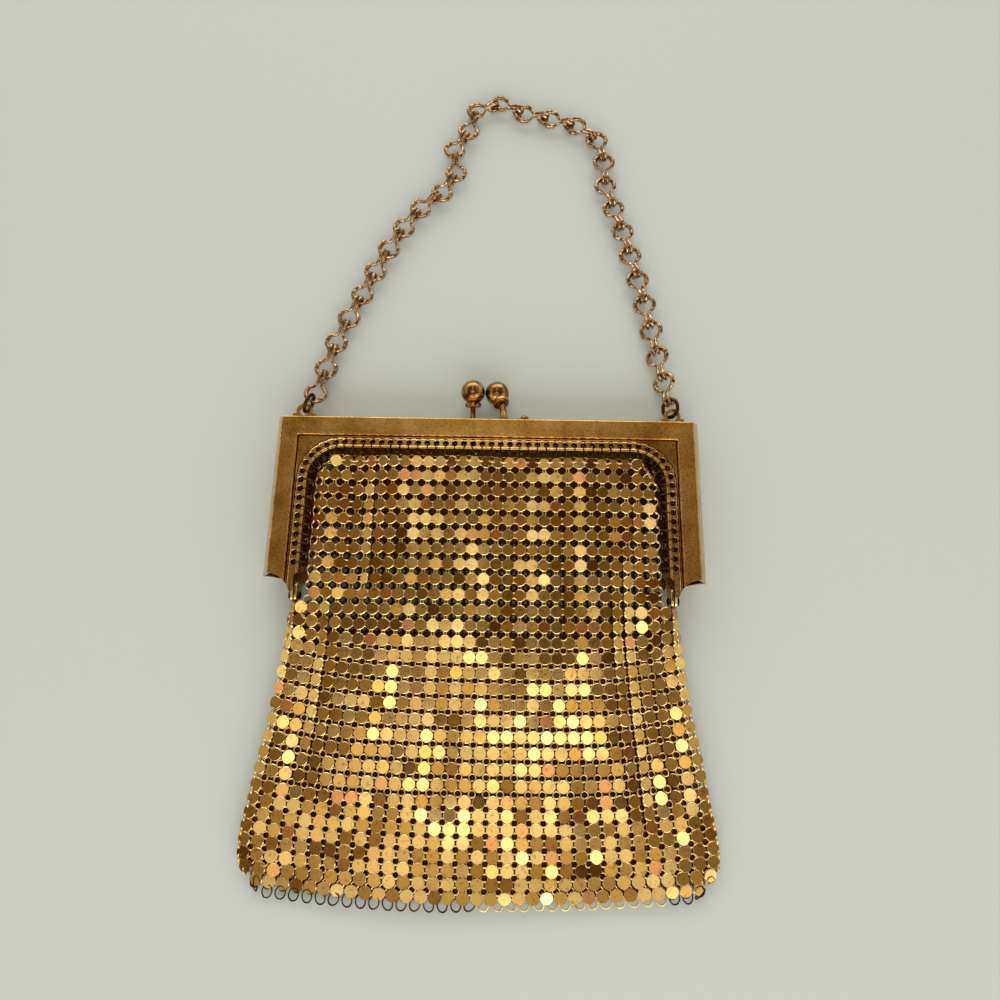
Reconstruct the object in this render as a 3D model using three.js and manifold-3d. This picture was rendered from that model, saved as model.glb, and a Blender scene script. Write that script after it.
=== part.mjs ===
import * as THREE from 'three';
import { mergeVertices } from 'three/addons/utils/BufferGeometryUtils.js';
import Module from 'manifold-3d';

const wasm = await Module();
wasm.setup();

// A metal mesh purse lying on its back, in millimetres
// X runs across the frame, Y from the bag towards the chain, Z up from the surface it lies on
// The top edge of the frame's front face is at Y = 0, and the two halves of the frame part at partingHeight

// Frame: two stamped channels, each with a raised border, a lower plate and a pierced band
const frameFaceWidth = 107.2;
const frameDepth = 8.4;
const sheet = 0.7;
const gap = 0.3;
const sideFlare = 2.1;
const topFlare = 1.2;
const sideBorderWidth = 4.4;
const topBorderWidth = 5;
const borderStep = 0.75;
const bandStep = 0.5;
const bandWidth = 3.15;
const bandCornerRadius = 11.5;
const armLength = 45.8;
const armCornerRadius = 5.7;
const armCornerDrop = 1.4;
const notchLength = 4.8;

// Holes that the mesh hangs from, in a line along the middle of the band
const holesPerHalf = 64;
const meshHoleRadius = 0.63;
const holeSides = 4;
const holeLineGap = 7.3;

// Hinge: one tab of each half, side by side on a rivet along X
const tabThickness = 0.6;
const tabRadius = 1.8;
const hingeDrop = 0.6;
const rivetRadius = 0.6;
const rivetHeadRadius = 1.1;
const rivetHeadThickness = 0.5;
const rivetSides = 6;

// Ears: flat plates on the back half, each with a hole for an end ring
const earHoleY = 3.2;
const earTipRadius = 2.2;
const earHoleRadius = 1.3;
const earBaseWidth = 6.2;

// Kiss-lock knobs, one from each half, and a small rivet beside them
const ballRadius = 3.2;
const collarRadius = 2.2;
const collarThickness = 1.1;
const leftPostRadius = 0.7;
const rightPostRadius = 0.9;
const topRivetX = 9.7;
const topRivetHeight = 5.5;
const topRivetHeadRadius = 1.15;
const topRivetRimRadius = 0.92;
const topRivetHeadHeight = 0.65;
const topRivetShankRadius = 0.45;
const topRivetLength = 1.6;

// Chain: folded-loop links, each a flat ring whose two ends fold round the next ring
const linkCount = 29;
const chainReach = 106.4;
const ringRadius = 2.5;
const chainWireRadius = 0.44;
const wireSides = 5;
const ringPoints = 10;
const neckSpacing = 1.24;
const neckRise = 0.3;
const hookRadius = 1.38;
const hookBends = [120, 60, 0];
const hookEndBend = 70;
const hookTipLength = 1.6;
const hookTipDrop = 1.17;
const rimInset = 0.15;
const chainClearance = 0.14;
const endRingRadius = 2.45;
const endRingWireRadius = 0.5;
const firstLinkSlack = 0.5;

// Bag: one wall of mesh, hung inside the frame and open at the top
const bagLength = 116.2;
const bagFlare = 2.4;
const bagRecess = 1.1;
const bagLift = 3;
const meshWall = 1.1;
const tongueGap = 0.5;
const pleatRise = 0.6;
const frontColumns = 19;
const backColumns = 9;
const hollowDepth = 3.3;

// Numbers of flat sides on round forms, and how near two corners are when they are made one
const cornerSegments = 3;
const tabSegments = 4;
const armCornerSides = 16;
const postSegments = 3;
const postSteps = 5;
const boreSides = 8;
const ballSides = 12;
const ballRows = 8;
const topRivetSides = 8;
const weld = 1e-4;
const wireWeld = 1e-3;

const faceHeight = frameDepth / 2;
const partingHeight = frameDepth / 2;
const plateHeight = faceHeight - borderStep;
const bandHeight = plateHeight - bandStep;
const faceHalfWidth = frameFaceWidth / 2;
const plateHalfWidth = faceHalfWidth - sideBorderWidth;
const plateTop = -topBorderWidth;
const openingHalfWidth = plateHalfWidth - bandWidth;
const openingTop = plateTop - bandWidth;
const openingCornerRadius = bandCornerRadius - bandWidth;
const hingeY = -armLength - hingeDrop;
const frontTabX = faceHalfWidth - armCornerRadius - tabThickness / 2;
const backTabX = frontTabX - tabThickness - gap;
const rivetHeadEdge = backTabX - tabThickness / 2 - gap - rivetHeadThickness;
const earX = plateHalfWidth;
const bagHalfWidth = faceHalfWidth + bagFlare;
const bagDepth = frameDepth - bagRecess;
const firstLinkReach = 2 * endRingRadius - endRingWireRadius - chainWireRadius + ringRadius - firstLinkSlack;
const shoulder = hingeY - tabRadius - 2 * gap;
const tongueHalfWidth = rivetHeadEdge - gap;
const hookDepth = hookRadius * Math.sin(THREE.MathUtils.degToRad(hookEndBend));
const chainHeight = hookDepth + chainWireRadius + chainClearance;

// Cuts run past the frame by these lengths
const beyond = 1;
const farBelow = -bagLength - beyond;

const across = new THREE.Vector3(1, 0, 0);
const up = new THREE.Vector3(0, 1, 0);
const upright = new THREE.Vector3(0, 0, 1);

const colours = {
  frame: { color: 0xb08a3e, roughness: 0.38, metalness: 1 },
  mesh: { color: 0xa8884a, roughness: 0.32, metalness: 1 },
  knob: { color: 0xa9703c, roughness: 0.25, metalness: 1 },
  chain: { color: 0xa67c4a, roughness: 0.35, metalness: 1 },
  dark: { color: 0x4a3a22, roughness: 0.5, metalness: 1 },
};

// Solids for cutting and joining

function solidOf(geometry) {
  const bare = geometry.clone();
  bare.deleteAttribute('normal');
  bare.deleteAttribute('uv');
  const merged = mergeVertices(bare, weld);
  return new wasm.Manifold(
    new wasm.Mesh({
      numProp: 3,
      vertProperties: new Float32Array(merged.attributes.position.array),
      triVerts: new Uint32Array(merged.index.array),
    }),
  );
}

function geometryOf(solid) {
  const mesh = solid.getMesh();
  const geometry = new THREE.BufferGeometry();
  geometry.setAttribute('position', new THREE.BufferAttribute(mesh.vertProperties, 3));
  geometry.setIndex(new THREE.BufferAttribute(mesh.triVerts, 1));
  geometry.computeVertexNormals();
  return geometry;
}

function joined(solids) {
  return solids.reduce((whole, solid) => whole.add(solid));
}

function turnedHalf(solid) {
  const geometry = geometryOf(solid);
  geometry.rotateY(Math.PI);
  return solidOf(geometry);
}

// A box between two heights whose outline changes evenly from the lower rectangle to the upper one
function taperedBox(lower, upper, bottomEdge, bottom, top) {
  const geometry = new THREE.BoxGeometry(1, 1, 1);
  const position = geometry.attributes.position;
  for (let i = 0; i < position.count; i += 1) {
    const isUpper = position.getZ(i) > 0;
    const outline = isUpper ? upper : lower;
    const x = Math.sign(position.getX(i)) * outline.halfWidth;
    const y = position.getY(i) > 0 ? outline.topEdge : bottomEdge;
    position.setXYZ(i, x, y, isUpper ? top : bottom);
  }
  return solidOf(geometry);
}

function straightBox(halfWidth, topEdge, bottomEdge, bottom, top) {
  const outline = { halfWidth, topEdge };
  return taperedBox(outline, outline, bottomEdge, bottom, top);
}

// An upright strip with rounded upper corners, open downwards as far as bottomEdge
function arch(halfWidth, topEdge, cornerRadius, bottomEdge) {
  const cornerX = halfWidth - cornerRadius;
  const cornerY = topEdge - cornerRadius;
  const shape = new THREE.Shape();
  shape.moveTo(-halfWidth, bottomEdge);
  shape.lineTo(halfWidth, bottomEdge);
  shape.absarc(cornerX, cornerY, cornerRadius, 0, Math.PI / 2, false);
  shape.absarc(-cornerX, cornerY, cornerRadius, Math.PI / 2, Math.PI, false);
  return shape;
}

function extruded(shape, bottom, top, curveSegments = cornerSegments) {
  const depth = top - bottom;
  const geometry = new THREE.ExtrudeGeometry(shape, { depth, bevelEnabled: false, curveSegments });
  geometry.translate(0, 0, bottom);
  return solidOf(geometry);
}

function cylinderAlong(direction, centre, radius, length, sides) {
  const geometry = new THREE.CylinderGeometry(radius, radius, length, sides);
  const turn = new THREE.Quaternion().setFromUnitVectors(up, direction.clone().normalize());
  geometry.applyQuaternion(turn);
  geometry.translate(centre.x, centre.y, centre.z);
  return solidOf(geometry);
}

// Frame halves, measured from the parting plane so that both share one shape

function outerSkin(inset, bottom, top, bottomEdge) {
  const outlineAt = (height) => {
    const share = 1 - height / faceHeight;
    return { halfWidth: faceHalfWidth + sideFlare * share - inset, topEdge: topFlare * share - inset };
  };
  return taperedBox(outlineAt(bottom), outlineAt(top), bottomEdge, bottom, top);
}

function meshHoles() {
  const middle = bandWidth / 2;
  const lineHalfWidth = plateHalfWidth - middle;
  const lineEnd = holeLineGap - armLength;
  const cornerX = plateHalfWidth - bandCornerRadius;
  const cornerY = plateTop - bandCornerRadius;
  const radius = bandCornerRadius - middle;
  const line = new THREE.Path();
  line.moveTo(-lineHalfWidth, lineEnd);
  line.lineTo(-lineHalfWidth, cornerY);
  line.absarc(-cornerX, cornerY, radius, Math.PI, Math.PI / 2, true);
  line.lineTo(cornerX, plateTop - middle);
  line.absarc(cornerX, cornerY, radius, Math.PI / 2, 0, true);
  line.lineTo(lineHalfWidth, lineEnd);
  return line.getSpacedPoints(holesPerHalf - 1).map((place) => {
    const centre = new THREE.Vector3(place.x, place.y, bandHeight);
    return cylinderAlong(upright, centre, meshHoleRadius, frameDepth / 2, holeSides);
  });
}

// A plate across X that hangs from the band's sheet at the arm's end and crosses the parting plane
function hingeTab(x) {
  const root = bandHeight - sheet / 2;
  const outline = new THREE.Shape();
  outline.moveTo(hingeY, -tabRadius);
  outline.absarc(hingeY, 0, tabRadius, -Math.PI / 2, Math.PI / 2, true);
  outline.lineTo(hingeY, root);
  outline.lineTo(hingeY + 2 * tabRadius, root);
  outline.lineTo(hingeY + 2 * tabRadius, gap);
  const depth = tabThickness;
  const curveSegments = tabSegments;
  const geometry = new THREE.ExtrudeGeometry(outline, { depth, bevelEnabled: false, curveSegments });
  geometry.applyMatrix4(new THREE.Matrix4().makeBasis(up, upright, across));
  geometry.translate(x - depth / 2, 0, 0);
  const holeRadius = rivetRadius + gap;
  const hole = cylinderAlong(across, new THREE.Vector3(x, hingeY, 0), holeRadius, 4 * depth, rivetSides);
  return solidOf(geometry).subtract(hole);
}

function halfFrame(tabX) {
  const top = faceHeight + beyond;
  const skin = outerSkin(0, gap / 2, faceHeight, -armLength);
  const plateRecess = straightBox(plateHalfWidth, plateTop, farBelow, plateHeight, top);
  const bandRecess = extruded(arch(plateHalfWidth, plateTop, bandCornerRadius, farBelow), bandHeight, top);
  const opening = extruded(arch(openingHalfWidth, openingTop, openingCornerRadius, farBelow), -beyond, top);
  const notch = straightBox(tabX - tabThickness / 2, notchLength - armLength, farBelow, -beyond, top);

  // The hollow under the sheet follows the border, the plate and the band one sheet below them
  const keptWidth = plateHalfWidth + sheet;
  const keptTop = plateTop + sheet;
  const underBorder = outerSkin(sheet, -beyond, faceHeight - sheet, farBelow);
  const plateKept = straightBox(keptWidth, keptTop, 2 * farBelow, plateHeight - sheet, top);
  const bandOutline = arch(keptWidth, keptTop, bandCornerRadius + sheet, 2 * farBelow);
  const bandKept = extruded(bandOutline, bandHeight - sheet, top);
  const hollow = underBorder.subtract(plateKept).subtract(bandKept);

  let half = skin.subtract(joined([plateRecess, bandRecess, opening, notch])).subtract(hollow);
  for (const side of [-1, 1]) {
    const corner = new THREE.Vector3(side * faceHalfWidth, -armLength - armCornerDrop, 0);
    half = half.subtract(cylinderAlong(upright, corner, armCornerRadius, 2 * frameDepth, armCornerSides));
    half = half.add(hingeTab(side * tabX));
  }
  return half.subtract(joined(meshHoles()));
}

function ear(side) {
  const top = -gap / 2;
  const halfBase = earBaseWidth / 2;
  const x = side * earX;
  const outline = new THREE.Shape();
  outline.moveTo(x - halfBase, topFlare - sheet);
  outline.lineTo(x + halfBase, topFlare - sheet);
  outline.lineTo(x + halfBase, topFlare);
  outline.absarc(x, earHoleY, earTipRadius, 0, Math.PI, false);
  outline.lineTo(x - halfBase, topFlare);
  const hole = new THREE.Path();
  hole.absarc(x, earHoleY, earHoleRadius, 0, 2 * Math.PI, true);
  outline.holes.push(hole);
  return extruded(outline, top - sheet, top, tabSegments);
}

// Knobs and rivets

const leftKnob = {
  foot: new THREE.Vector3(-4.1, -1.2, 1.9),
  base: new THREE.Vector3(-4.1, 0.9, 2.6),
  collar: new THREE.Vector3(-4.03, 5.3, 4.1),
  ball: new THREE.Vector3(-4.1, 8.8, 5.15),
  postRadius: leftPostRadius,
};
const rightKnob = {
  foot: new THREE.Vector3(4.7, -1.4, 6.3),
  base: new THREE.Vector3(4.5, 0.5, 6.2),
  collar: new THREE.Vector3(3.4, 6, 5.1),
  ball: new THREE.Vector3(2.3, 9, 4.05),
  postRadius: rightPostRadius,
};

function knob(part) {
  const towardsBall = part.ball.clone().sub(part.collar);
  const path = new THREE.CatmullRomCurve3([part.foot, part.base, part.collar, part.ball]);
  const section = new THREE.Shape();
  section.absarc(0, 0, part.postRadius, 0, 2 * Math.PI, false);
  const settings = { steps: postSteps, extrudePath: path, curveSegments: postSegments };
  const post = solidOf(new THREE.ExtrudeGeometry(section, settings));
  const ball = new THREE.SphereGeometry(ballRadius, ballSides, ballRows);
  ball.translate(part.ball.x, part.ball.y, part.ball.z);
  const collar = cylinderAlong(towardsBall, part.collar, collarRadius, collarThickness, boreSides);
  return joined([post, solidOf(ball), collar]);
}

// The hole in the frame's top wall that a knob's post passes through
function postHole(part) {
  const direction = part.base.clone().sub(part.foot);
  return cylinderAlong(direction, part.base, part.postRadius + gap, frameDepth / 2, boreSides);
}

const topWallNormal = new THREE.Vector3(0, faceHeight, topFlare).normalize();
const topWallShare = (frameDepth - topRivetHeight) / faceHeight;
const topRivetBase = new THREE.Vector3(topRivetX, topFlare * topWallShare, topRivetHeight);

function topRivet() {
  const headEdge = gap + topRivetHeadHeight;
  const profile = [
    new THREE.Vector2(0, -topRivetLength),
    new THREE.Vector2(topRivetShankRadius, -topRivetLength),
    new THREE.Vector2(topRivetShankRadius, gap),
    new THREE.Vector2(topRivetHeadRadius, gap),
    new THREE.Vector2(topRivetRimRadius, headEdge),
    new THREE.Vector2(0, headEdge + topRivetHeadHeight / 2),
  ];
  const geometry = new THREE.LatheGeometry(profile, topRivetSides);
  geometry.applyQuaternion(new THREE.Quaternion().setFromUnitVectors(up, topWallNormal));
  geometry.translate(topRivetBase.x, topRivetBase.y, topRivetBase.z);
  return solidOf(geometry);
}

function topRivetHole() {
  return cylinderAlong(topWallNormal, topRivetBase, topRivetShankRadius + gap, 3 * sheet, topRivetSides);
}

function hingeRivet(side) {
  const half = rivetHeadThickness / 2;
  const outerFace = frontTabX + tabThickness / 2 + gap;
  const innerFace = backTabX - tabThickness / 2 - gap;
  const at = (x) => new THREE.Vector3(side * x, hingeY, partingHeight);
  const shankLength = outerFace - innerFace + half;
  const shank = cylinderAlong(across, at((outerFace + innerFace) / 2), rivetRadius, shankLength, rivetSides);
  const head = (x) => cylinderAlong(across, at(x), rivetHeadRadius, rivetHeadThickness, rivetSides);
  return joined([shank, head(outerFace + half), head(innerFace - half)]);
}

// Wire loops

// A closed curve that is divided at its own points, not at even distances
class WireLoop extends THREE.CatmullRomCurve3 {
  constructor(points) {
    super(points, true, 'centripetal');
  }

  getUtoTmapping(u) {
    return u;
  }

  // Measured across the joint too, so that the first and last sections are the same
  getTangent(t) {
    const nudge = 1e-4;
    const ahead = this.getPoint((t + nudge) % 1);
    return ahead.sub(this.getPoint((t - nudge + 1) % 1)).normalize();
  }
}

// Only the wall of the extrusion is kept, because a closed loop of wire has no ends
function wireGeometry(points, radius) {
  const section = new THREE.Shape();
  for (let i = 0; i < wireSides; i += 1) {
    const angle = (2 * Math.PI * i) / wireSides;
    const corner = new THREE.Vector2(radius * Math.cos(angle), radius * Math.sin(angle));
    if (i === 0) {
      section.moveTo(corner.x, corner.y);
    } else {
      section.lineTo(corner.x, corner.y);
    }
  }
  const settings = { steps: points.length, extrudePath: new WireLoop(points) };
  const tube = new THREE.ExtrudeGeometry(section, settings);
  const wall = tube.groups.find((group) => group.materialIndex === 1);
  const corners = tube.attributes.position.array.slice(3 * wall.start, 3 * (wall.start + wall.count));
  const open = new THREE.BufferGeometry();
  open.setAttribute('position', new THREE.BufferAttribute(corners, 3));
  const closed = mergeVertices(open, wireWeld);
  closed.computeVertexNormals();
  return closed;
}

// One link about its ring's centre, with its hook along +X round a wire along Y at the distance reach
function linkPoints(reach) {
  const spread = neckSpacing / 2;
  const ring = [];
  for (let step = 1; step < ringPoints; step += 1) {
    const angle = (2 * Math.PI * step) / ringPoints;
    ring.push(new THREE.Vector3(ringRadius * Math.cos(angle), ringRadius * Math.sin(angle), 0));
  }
  const over = (side) => {
    const neck = new THREE.Vector3(ringRadius + chainWireRadius, side * spread, neckRise);
    const hook = [...hookBends, -hookEndBend].map((degrees) => {
      const angle = THREE.MathUtils.degToRad(degrees);
      const x = reach + hookRadius * Math.cos(angle);
      return new THREE.Vector3(x, side * spread, hookRadius * Math.sin(angle));
    });
    return [neck, ...hook];
  };
  const tip = new THREE.Vector3(reach - hookTipLength, 0, -hookTipDrop);
  return [...ring, ...over(-1), tip, ...over(1).reverse()];
}

function endRingPoints() {
  return Array.from({ length: ringPoints }, (unused, i) => {
    const angle = (2 * Math.PI * i) / ringPoints;
    return new THREE.Vector3(endRingRadius * Math.cos(angle), 0, endRingRadius * Math.sin(angle));
  });
}

// Places a piece with its own X axis along a direction, its Y axis level, and then rolls it about X
function aim(mesh, centre, direction, roll) {
  const forward = direction.clone().normalize();
  const sideways = new THREE.Vector3(0, 0, 1).cross(forward).normalize();
  const upward = forward.clone().cross(sideways);
  mesh.quaternion.setFromRotationMatrix(new THREE.Matrix4().makeBasis(forward, sideways, upward));
  mesh.rotateX(THREE.MathUtils.degToRad(roll));
  mesh.position.copy(centre);
  return mesh;
}

// Chain route at the rings' centres, from the left ear over the top to the right ear
// Each point is a share of earX across and a share of chainReach up, and the first only gives a direction
const chainRouteShares = [
  [-0.9533, 0.08177],
  [-0.8659, 0.235],
  [-0.7378, 0.3769],
  [-0.6037, 0.516],
  [-0.437, 0.641],
  [-0.315, 0.6917],
  [-0.2317, 0.7538],
  [-0.248, 0.8318],
  [-0.1687, 0.8929],
  [-0.1321, 0.9662],
  [0.006098, 1],
  [0.1667, 0.9662],
  [0.4919, 0.9258],
  [0.624, 0.8769],
  [0.6667, 0.7998],
  [0.6707, 0.7265],
  [0.7703, 0.5714],
  [0.8841, 0.343],
  [0.9675, 0.1259],
];

// The first and last links rise to the ears, and the last ones turn over towards the tilted end ring
const firstLinkRise = 1.1;
const lastLinkRises = [0, 0.4, 1.1];
const lastLinkRolls = [10, 20, 30, 40];
const leftRingRoll = 0;
const rightRingRoll = 40;

function fromEnd(list, index) {
  const place = index - (linkCount - list.length);
  return place < 0 ? 0 : list[place];
}

function chainCentres() {
  const places = chainRouteShares.map(([x, y]) => new THREE.Vector3(x * earX, y * chainReach, chainHeight));
  const hole = new THREE.Vector3(-earX, earHoleY, chainHeight);
  places[0].sub(hole).setLength(firstLinkReach).add(hole);
  const centres = new THREE.CatmullRomCurve3(places).getSpacedPoints(linkCount - 1);
  centres.forEach((centre, index) => {
    centre.z += index === 0 ? firstLinkRise : fromEnd(lastLinkRises, index);
  });
  return centres;
}

// Bag

// Shares of bagLength, bagHalfWidth, bagDepth (back and front) and bagLift, from the mouth to the bottom
const bagRows = [
  { down: 0.05, width: 0.84, back: 0.07, front: 0.98, roundness: 9, lift: 0 },
  { down: 0.17, width: 0.84, back: 0.07, front: 0.99, roundness: 9, lift: 0 },
  { down: 0.31, width: 0.84, back: 0.05, front: 1, roundness: 8, lift: 0 },
  { down: 0.417, width: 0.85, back: 0.01, front: 1, roundness: 5, lift: 0 },
  { down: 0.435, width: 0.862, back: 0, front: 0.99, roundness: 4, lift: 0 },
  { down: 0.49, width: 0.866, back: 0, front: 0.96, roundness: 3.4, lift: 0 },
  { down: 0.56, width: 0.888, back: 0, front: 0.92, roundness: 3, lift: 0 },
  { down: 0.637, width: 0.905, back: 0, front: 0.85, roundness: 3, lift: 0 },
  { down: 0.723, width: 0.941, back: 0, front: 0.75, roundness: 3, lift: 0.1 },
  { down: 0.81, width: 0.966, back: 0, front: 0.63, roundness: 3, lift: 0.27 },
  { down: 0.886, width: 0.996, back: 0, front: 0.52, roundness: 3, lift: 0.53 },
  { down: 0.938, width: 1, back: 0, front: 0.44, roundness: 3, lift: 0.77 },
  { down: 0.968, width: 0.982, back: 0, front: 0.38, roundness: 3, lift: 0.93 },
  { down: 0.988, width: 0.943, back: 0, front: 0.33, roundness: 3, lift: 1 },
  { down: 1, width: 0.884, back: 0.04, front: 0.23, roundness: 3, lift: 1 },
];

// Upright pleats of the front, gathered at the frame, as shares of bagHalfWidth and (rise) of pleatRise
const pleats = [
  { top: -0.71, foot: -0.82, width: 0.09, rise: 0.8 },
  { top: -0.38, foot: -0.43, width: 0.11, rise: 0.8 },
  { top: -0.09, foot: -0.07, width: 0.11, rise: 1 },
  { top: 0.07, foot: 0.16, width: 0.09, rise: 0.5 },
  { top: 0.43, foot: 0.5, width: 0.11, rise: 1 },
  { top: 0.75, foot: 0.84, width: 0.08, rise: 0.7 },
];
const pleatEnd = 0.86;
const pleatEdgePower = 8;

function pleatHeight(x, down) {
  const fade = Math.max(0, 1 - down / pleatEnd);
  return pleats.reduce((height, pleat) => {
    const centre = pleat.top + (pleat.foot - pleat.top) * (1 - fade);
    const offset = (x / bagHalfWidth - centre) / pleat.width;
    return height + pleat.rise * pleatRise * fade * Math.exp(-(offset ** 2));
  }, 0);
}

// Places from the left edge to the right edge as shares of the half width, closer together at the edges
const edgeAngle = 1.25;

function sharesAcross(columns) {
  const angleAt = (i) => ((2 * i) / (columns - 1) - 1) * edgeAngle;
  return Array.from({ length: columns }, (unused, i) => Math.sin(angleAt(i)) / Math.sin(edgeAngle));
}

// One closed section of the bag: the front from left to right, then the back from right to left
function bagSection(row, inset, columns, pleated) {
  const middle = (bagDepth * (row.front + row.back)) / 2;
  const half = (bagDepth * (row.front - row.back)) / 2 - inset;
  const halfWidth = row.width * bagHalfWidth - inset;
  const point = (share, side) => {
    const x = share * halfWidth;
    const y = row.lift * bagLift * share ** 2 - row.down * bagLength;
    const bulge = half * (1 - Math.abs(share) ** row.roundness) ** (1 / row.roundness);
    const fold = pleated && side > 0 ? pleatHeight(x, row.down) * (1 - share ** pleatEdgePower) : 0;
    return new THREE.Vector3(x, y, middle + side * bulge + fold);
  };
  const front = sharesAcross(columns).map((share) => point(share, 1));
  const back = sharesAcross(backColumns).slice(1, -1).reverse().map((share) => point(share, -1));
  return [...front, ...back];
}

// A closed skin through sections of equal length, with a fan over each end
function loft(sections) {
  const count = sections[0].length;
  const points = sections.flat();
  const sumOf = (section) => section.reduce((sum, point) => sum.add(point), new THREE.Vector3());
  const centreOf = (section) => sumOf(section).divideScalar(count);
  const firstCentre = points.push(centreOf(sections[0])) - 1;
  const lastCentre = points.push(centreOf(sections[sections.length - 1])) - 1;
  const triangles = [];
  for (let i = 0; i < count; i += 1) {
    const next = (i + 1) % count;
    for (let row = 0; row < sections.length - 1; row += 1) {
      const upper = row * count;
      const lower = upper + count;
      triangles.push(upper + i, lower + i, upper + next);
      triangles.push(upper + next, lower + i, lower + next);
    }
    const lastRow = (sections.length - 1) * count;
    triangles.push(firstCentre, i, next);
    triangles.push(lastCentre, lastRow + next, lastRow + i);
  }
  const geometry = new THREE.BufferGeometry().setFromPoints(points);
  geometry.setIndex(triangles);
  return solidOf(geometry);
}

// The bag is cut to two tongues inside the frame, and stays whole below the hinges
// Its hollow follows every second row, as far down as the bag is deeper than hollowDepth
function meshBag() {
  const outside = loft(bagRows.map((row) => bagSection(row, 0, frontColumns, true)));
  const deepRows = bagRows.filter((row) => (row.front - row.back) * bagDepth > hollowDepth);
  const insideRows = deepRows.filter((row, index) => index % 2 === 0);
  const inside = loft(insideRows.map((row) => bagSection(row, meshWall, backColumns, false)));
  const cornerRadius = openingCornerRadius - gap;
  const tongueOutline = arch(tongueHalfWidth, openingTop - tongueGap, cornerRadius, shoulder);
  const tongues = extruded(tongueOutline, -beyond, frameDepth + beyond);
  const lowerBag = straightBox(bagHalfWidth + beyond, shoulder, farBelow, -beyond, frameDepth + beyond);
  const slitBottom = bagRows[0].back * bagDepth + meshWall;
  const slitTop = bagRows[0].front * bagDepth - meshWall;
  const sideSlit = straightBox(bagHalfWidth, 0, shoulder, slitBottom, slitTop);
  return outside.intersect(tongues.add(lowerBag)).subtract(inside).subtract(sideSlit);
}

// Assembly

function named(name, geometry, look) {
  const mesh = new THREE.Mesh(geometry, new THREE.MeshStandardMaterial(look));
  mesh.name = name;
  return mesh;
}

const purse = new THREE.Group();

function addSolid(name, solid, look) {
  const mesh = named(name, geometryOf(solid), look);
  purse.add(mesh);
  return mesh;
}

function raised(solid) {
  return solid.translate([0, 0, partingHeight]);
}

const frontHalf = raised(halfFrame(frontTabX));
addSolid('front_frame', frontHalf.subtract(postHole(rightKnob)).subtract(topRivetHole()), colours.frame);

const backHalf = raised(turnedHalf(halfFrame(backTabX)).add(ear(-1)).add(ear(1)));
addSolid('back_frame', backHalf.subtract(postHole(leftKnob)), colours.frame);

addSolid('hinge_rivet_left', hingeRivet(-1), colours.dark);
addSolid('hinge_rivet_right', hingeRivet(1), colours.dark);
addSolid('clasp_knob_left', knob(leftKnob), colours.knob);
addSolid('clasp_knob_right', knob(rightKnob), colours.knob);
addSolid('top_rivet', topRivet(), colours.knob);
addSolid('mesh_bag', meshBag(), colours.mesh);

const centres = chainCentres();
const earHeight = partingHeight - gap / 2 - sheet / 2;

// Each end ring starts in its ear's hole and leans towards the chain's end
function endRing(side, chainEnd, roll) {
  const hole = new THREE.Vector3(side * earX, earHoleY, earHeight);
  const direction = new THREE.Vector3(chainEnd.x - hole.x, chainEnd.y - hole.y, 0).normalize();
  const name = side < 0 ? 'end_ring_left' : 'end_ring_right';
  const mesh = named(name, wireGeometry(endRingPoints(), endRingWireRadius), colours.dark);
  aim(mesh, hole.clone().addScaledVector(direction, endRingRadius), direction, roll);
  purse.add(mesh);
  return hole.addScaledVector(direction, 2 * endRingRadius - rimInset);
}

endRing(-1, centres[0], leftRingRoll);
const lastHold = endRing(1, centres[linkCount - 1], rightRingRoll);

// The links are placed from the last to the first, each holding the rim of the one placed before it
const links = [];
let hold = lastHold;
for (let index = linkCount - 1; index >= 0; index -= 1) {
  const centre = centres[index];
  const direction = hold.clone().sub(centre);
  const name = `chain_link_${String(index + 1).padStart(2, '0')}`;
  const mesh = named(name, wireGeometry(linkPoints(direction.length()), chainWireRadius), colours.chain);
  links.unshift(aim(mesh, centre, direction, fromEnd(lastLinkRolls, index)));
  if (index > 0) {
    const ringNormal = upright.clone().applyQuaternion(mesh.quaternion);
    const towardsHook = centres[index - 1].clone().sub(centre).projectOnPlane(ringNormal);
    hold = centre.clone().add(towardsHook.setLength(ringRadius - rimInset));
  }
}
purse.add(...links);

// The origin is under the middle of the purse's box, on the surface it lies on
const purseBox = new THREE.Box3().setFromObject(purse, true);
const boxCentre = purseBox.getCenter(new THREE.Vector3());
purse.position.set(-boxCentre.x, -boxCentre.y, -purseBox.min.z);

export default purse;
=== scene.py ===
import math
import random

import bpy
import numpy as np
from mathutils import Matrix, Quaternion, Vector, noise


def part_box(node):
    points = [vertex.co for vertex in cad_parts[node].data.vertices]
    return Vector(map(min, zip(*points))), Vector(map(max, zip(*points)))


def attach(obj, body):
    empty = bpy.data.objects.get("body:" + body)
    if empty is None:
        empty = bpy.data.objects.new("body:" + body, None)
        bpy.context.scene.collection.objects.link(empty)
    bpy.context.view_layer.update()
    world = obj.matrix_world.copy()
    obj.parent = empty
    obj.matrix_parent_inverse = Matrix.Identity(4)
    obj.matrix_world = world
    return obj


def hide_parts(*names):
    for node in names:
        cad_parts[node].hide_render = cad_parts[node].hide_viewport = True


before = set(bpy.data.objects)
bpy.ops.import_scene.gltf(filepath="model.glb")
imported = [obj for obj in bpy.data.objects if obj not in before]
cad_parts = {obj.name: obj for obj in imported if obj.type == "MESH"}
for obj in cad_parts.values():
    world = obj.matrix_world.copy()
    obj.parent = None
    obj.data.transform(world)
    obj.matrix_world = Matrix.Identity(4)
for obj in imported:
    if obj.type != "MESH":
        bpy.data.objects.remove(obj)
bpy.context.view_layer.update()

# Frame halves
# Two channels stamped from brass sheet and gold plated. Each has a raised border, a lower plate in its two
# corners and a lower band again with a rolled rim, pierced in one line for the wires that carry the mesh.
# Shapes are drawn in millimetres from the top edge of the frame's front face, and settled into the CAD frame.

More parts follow.
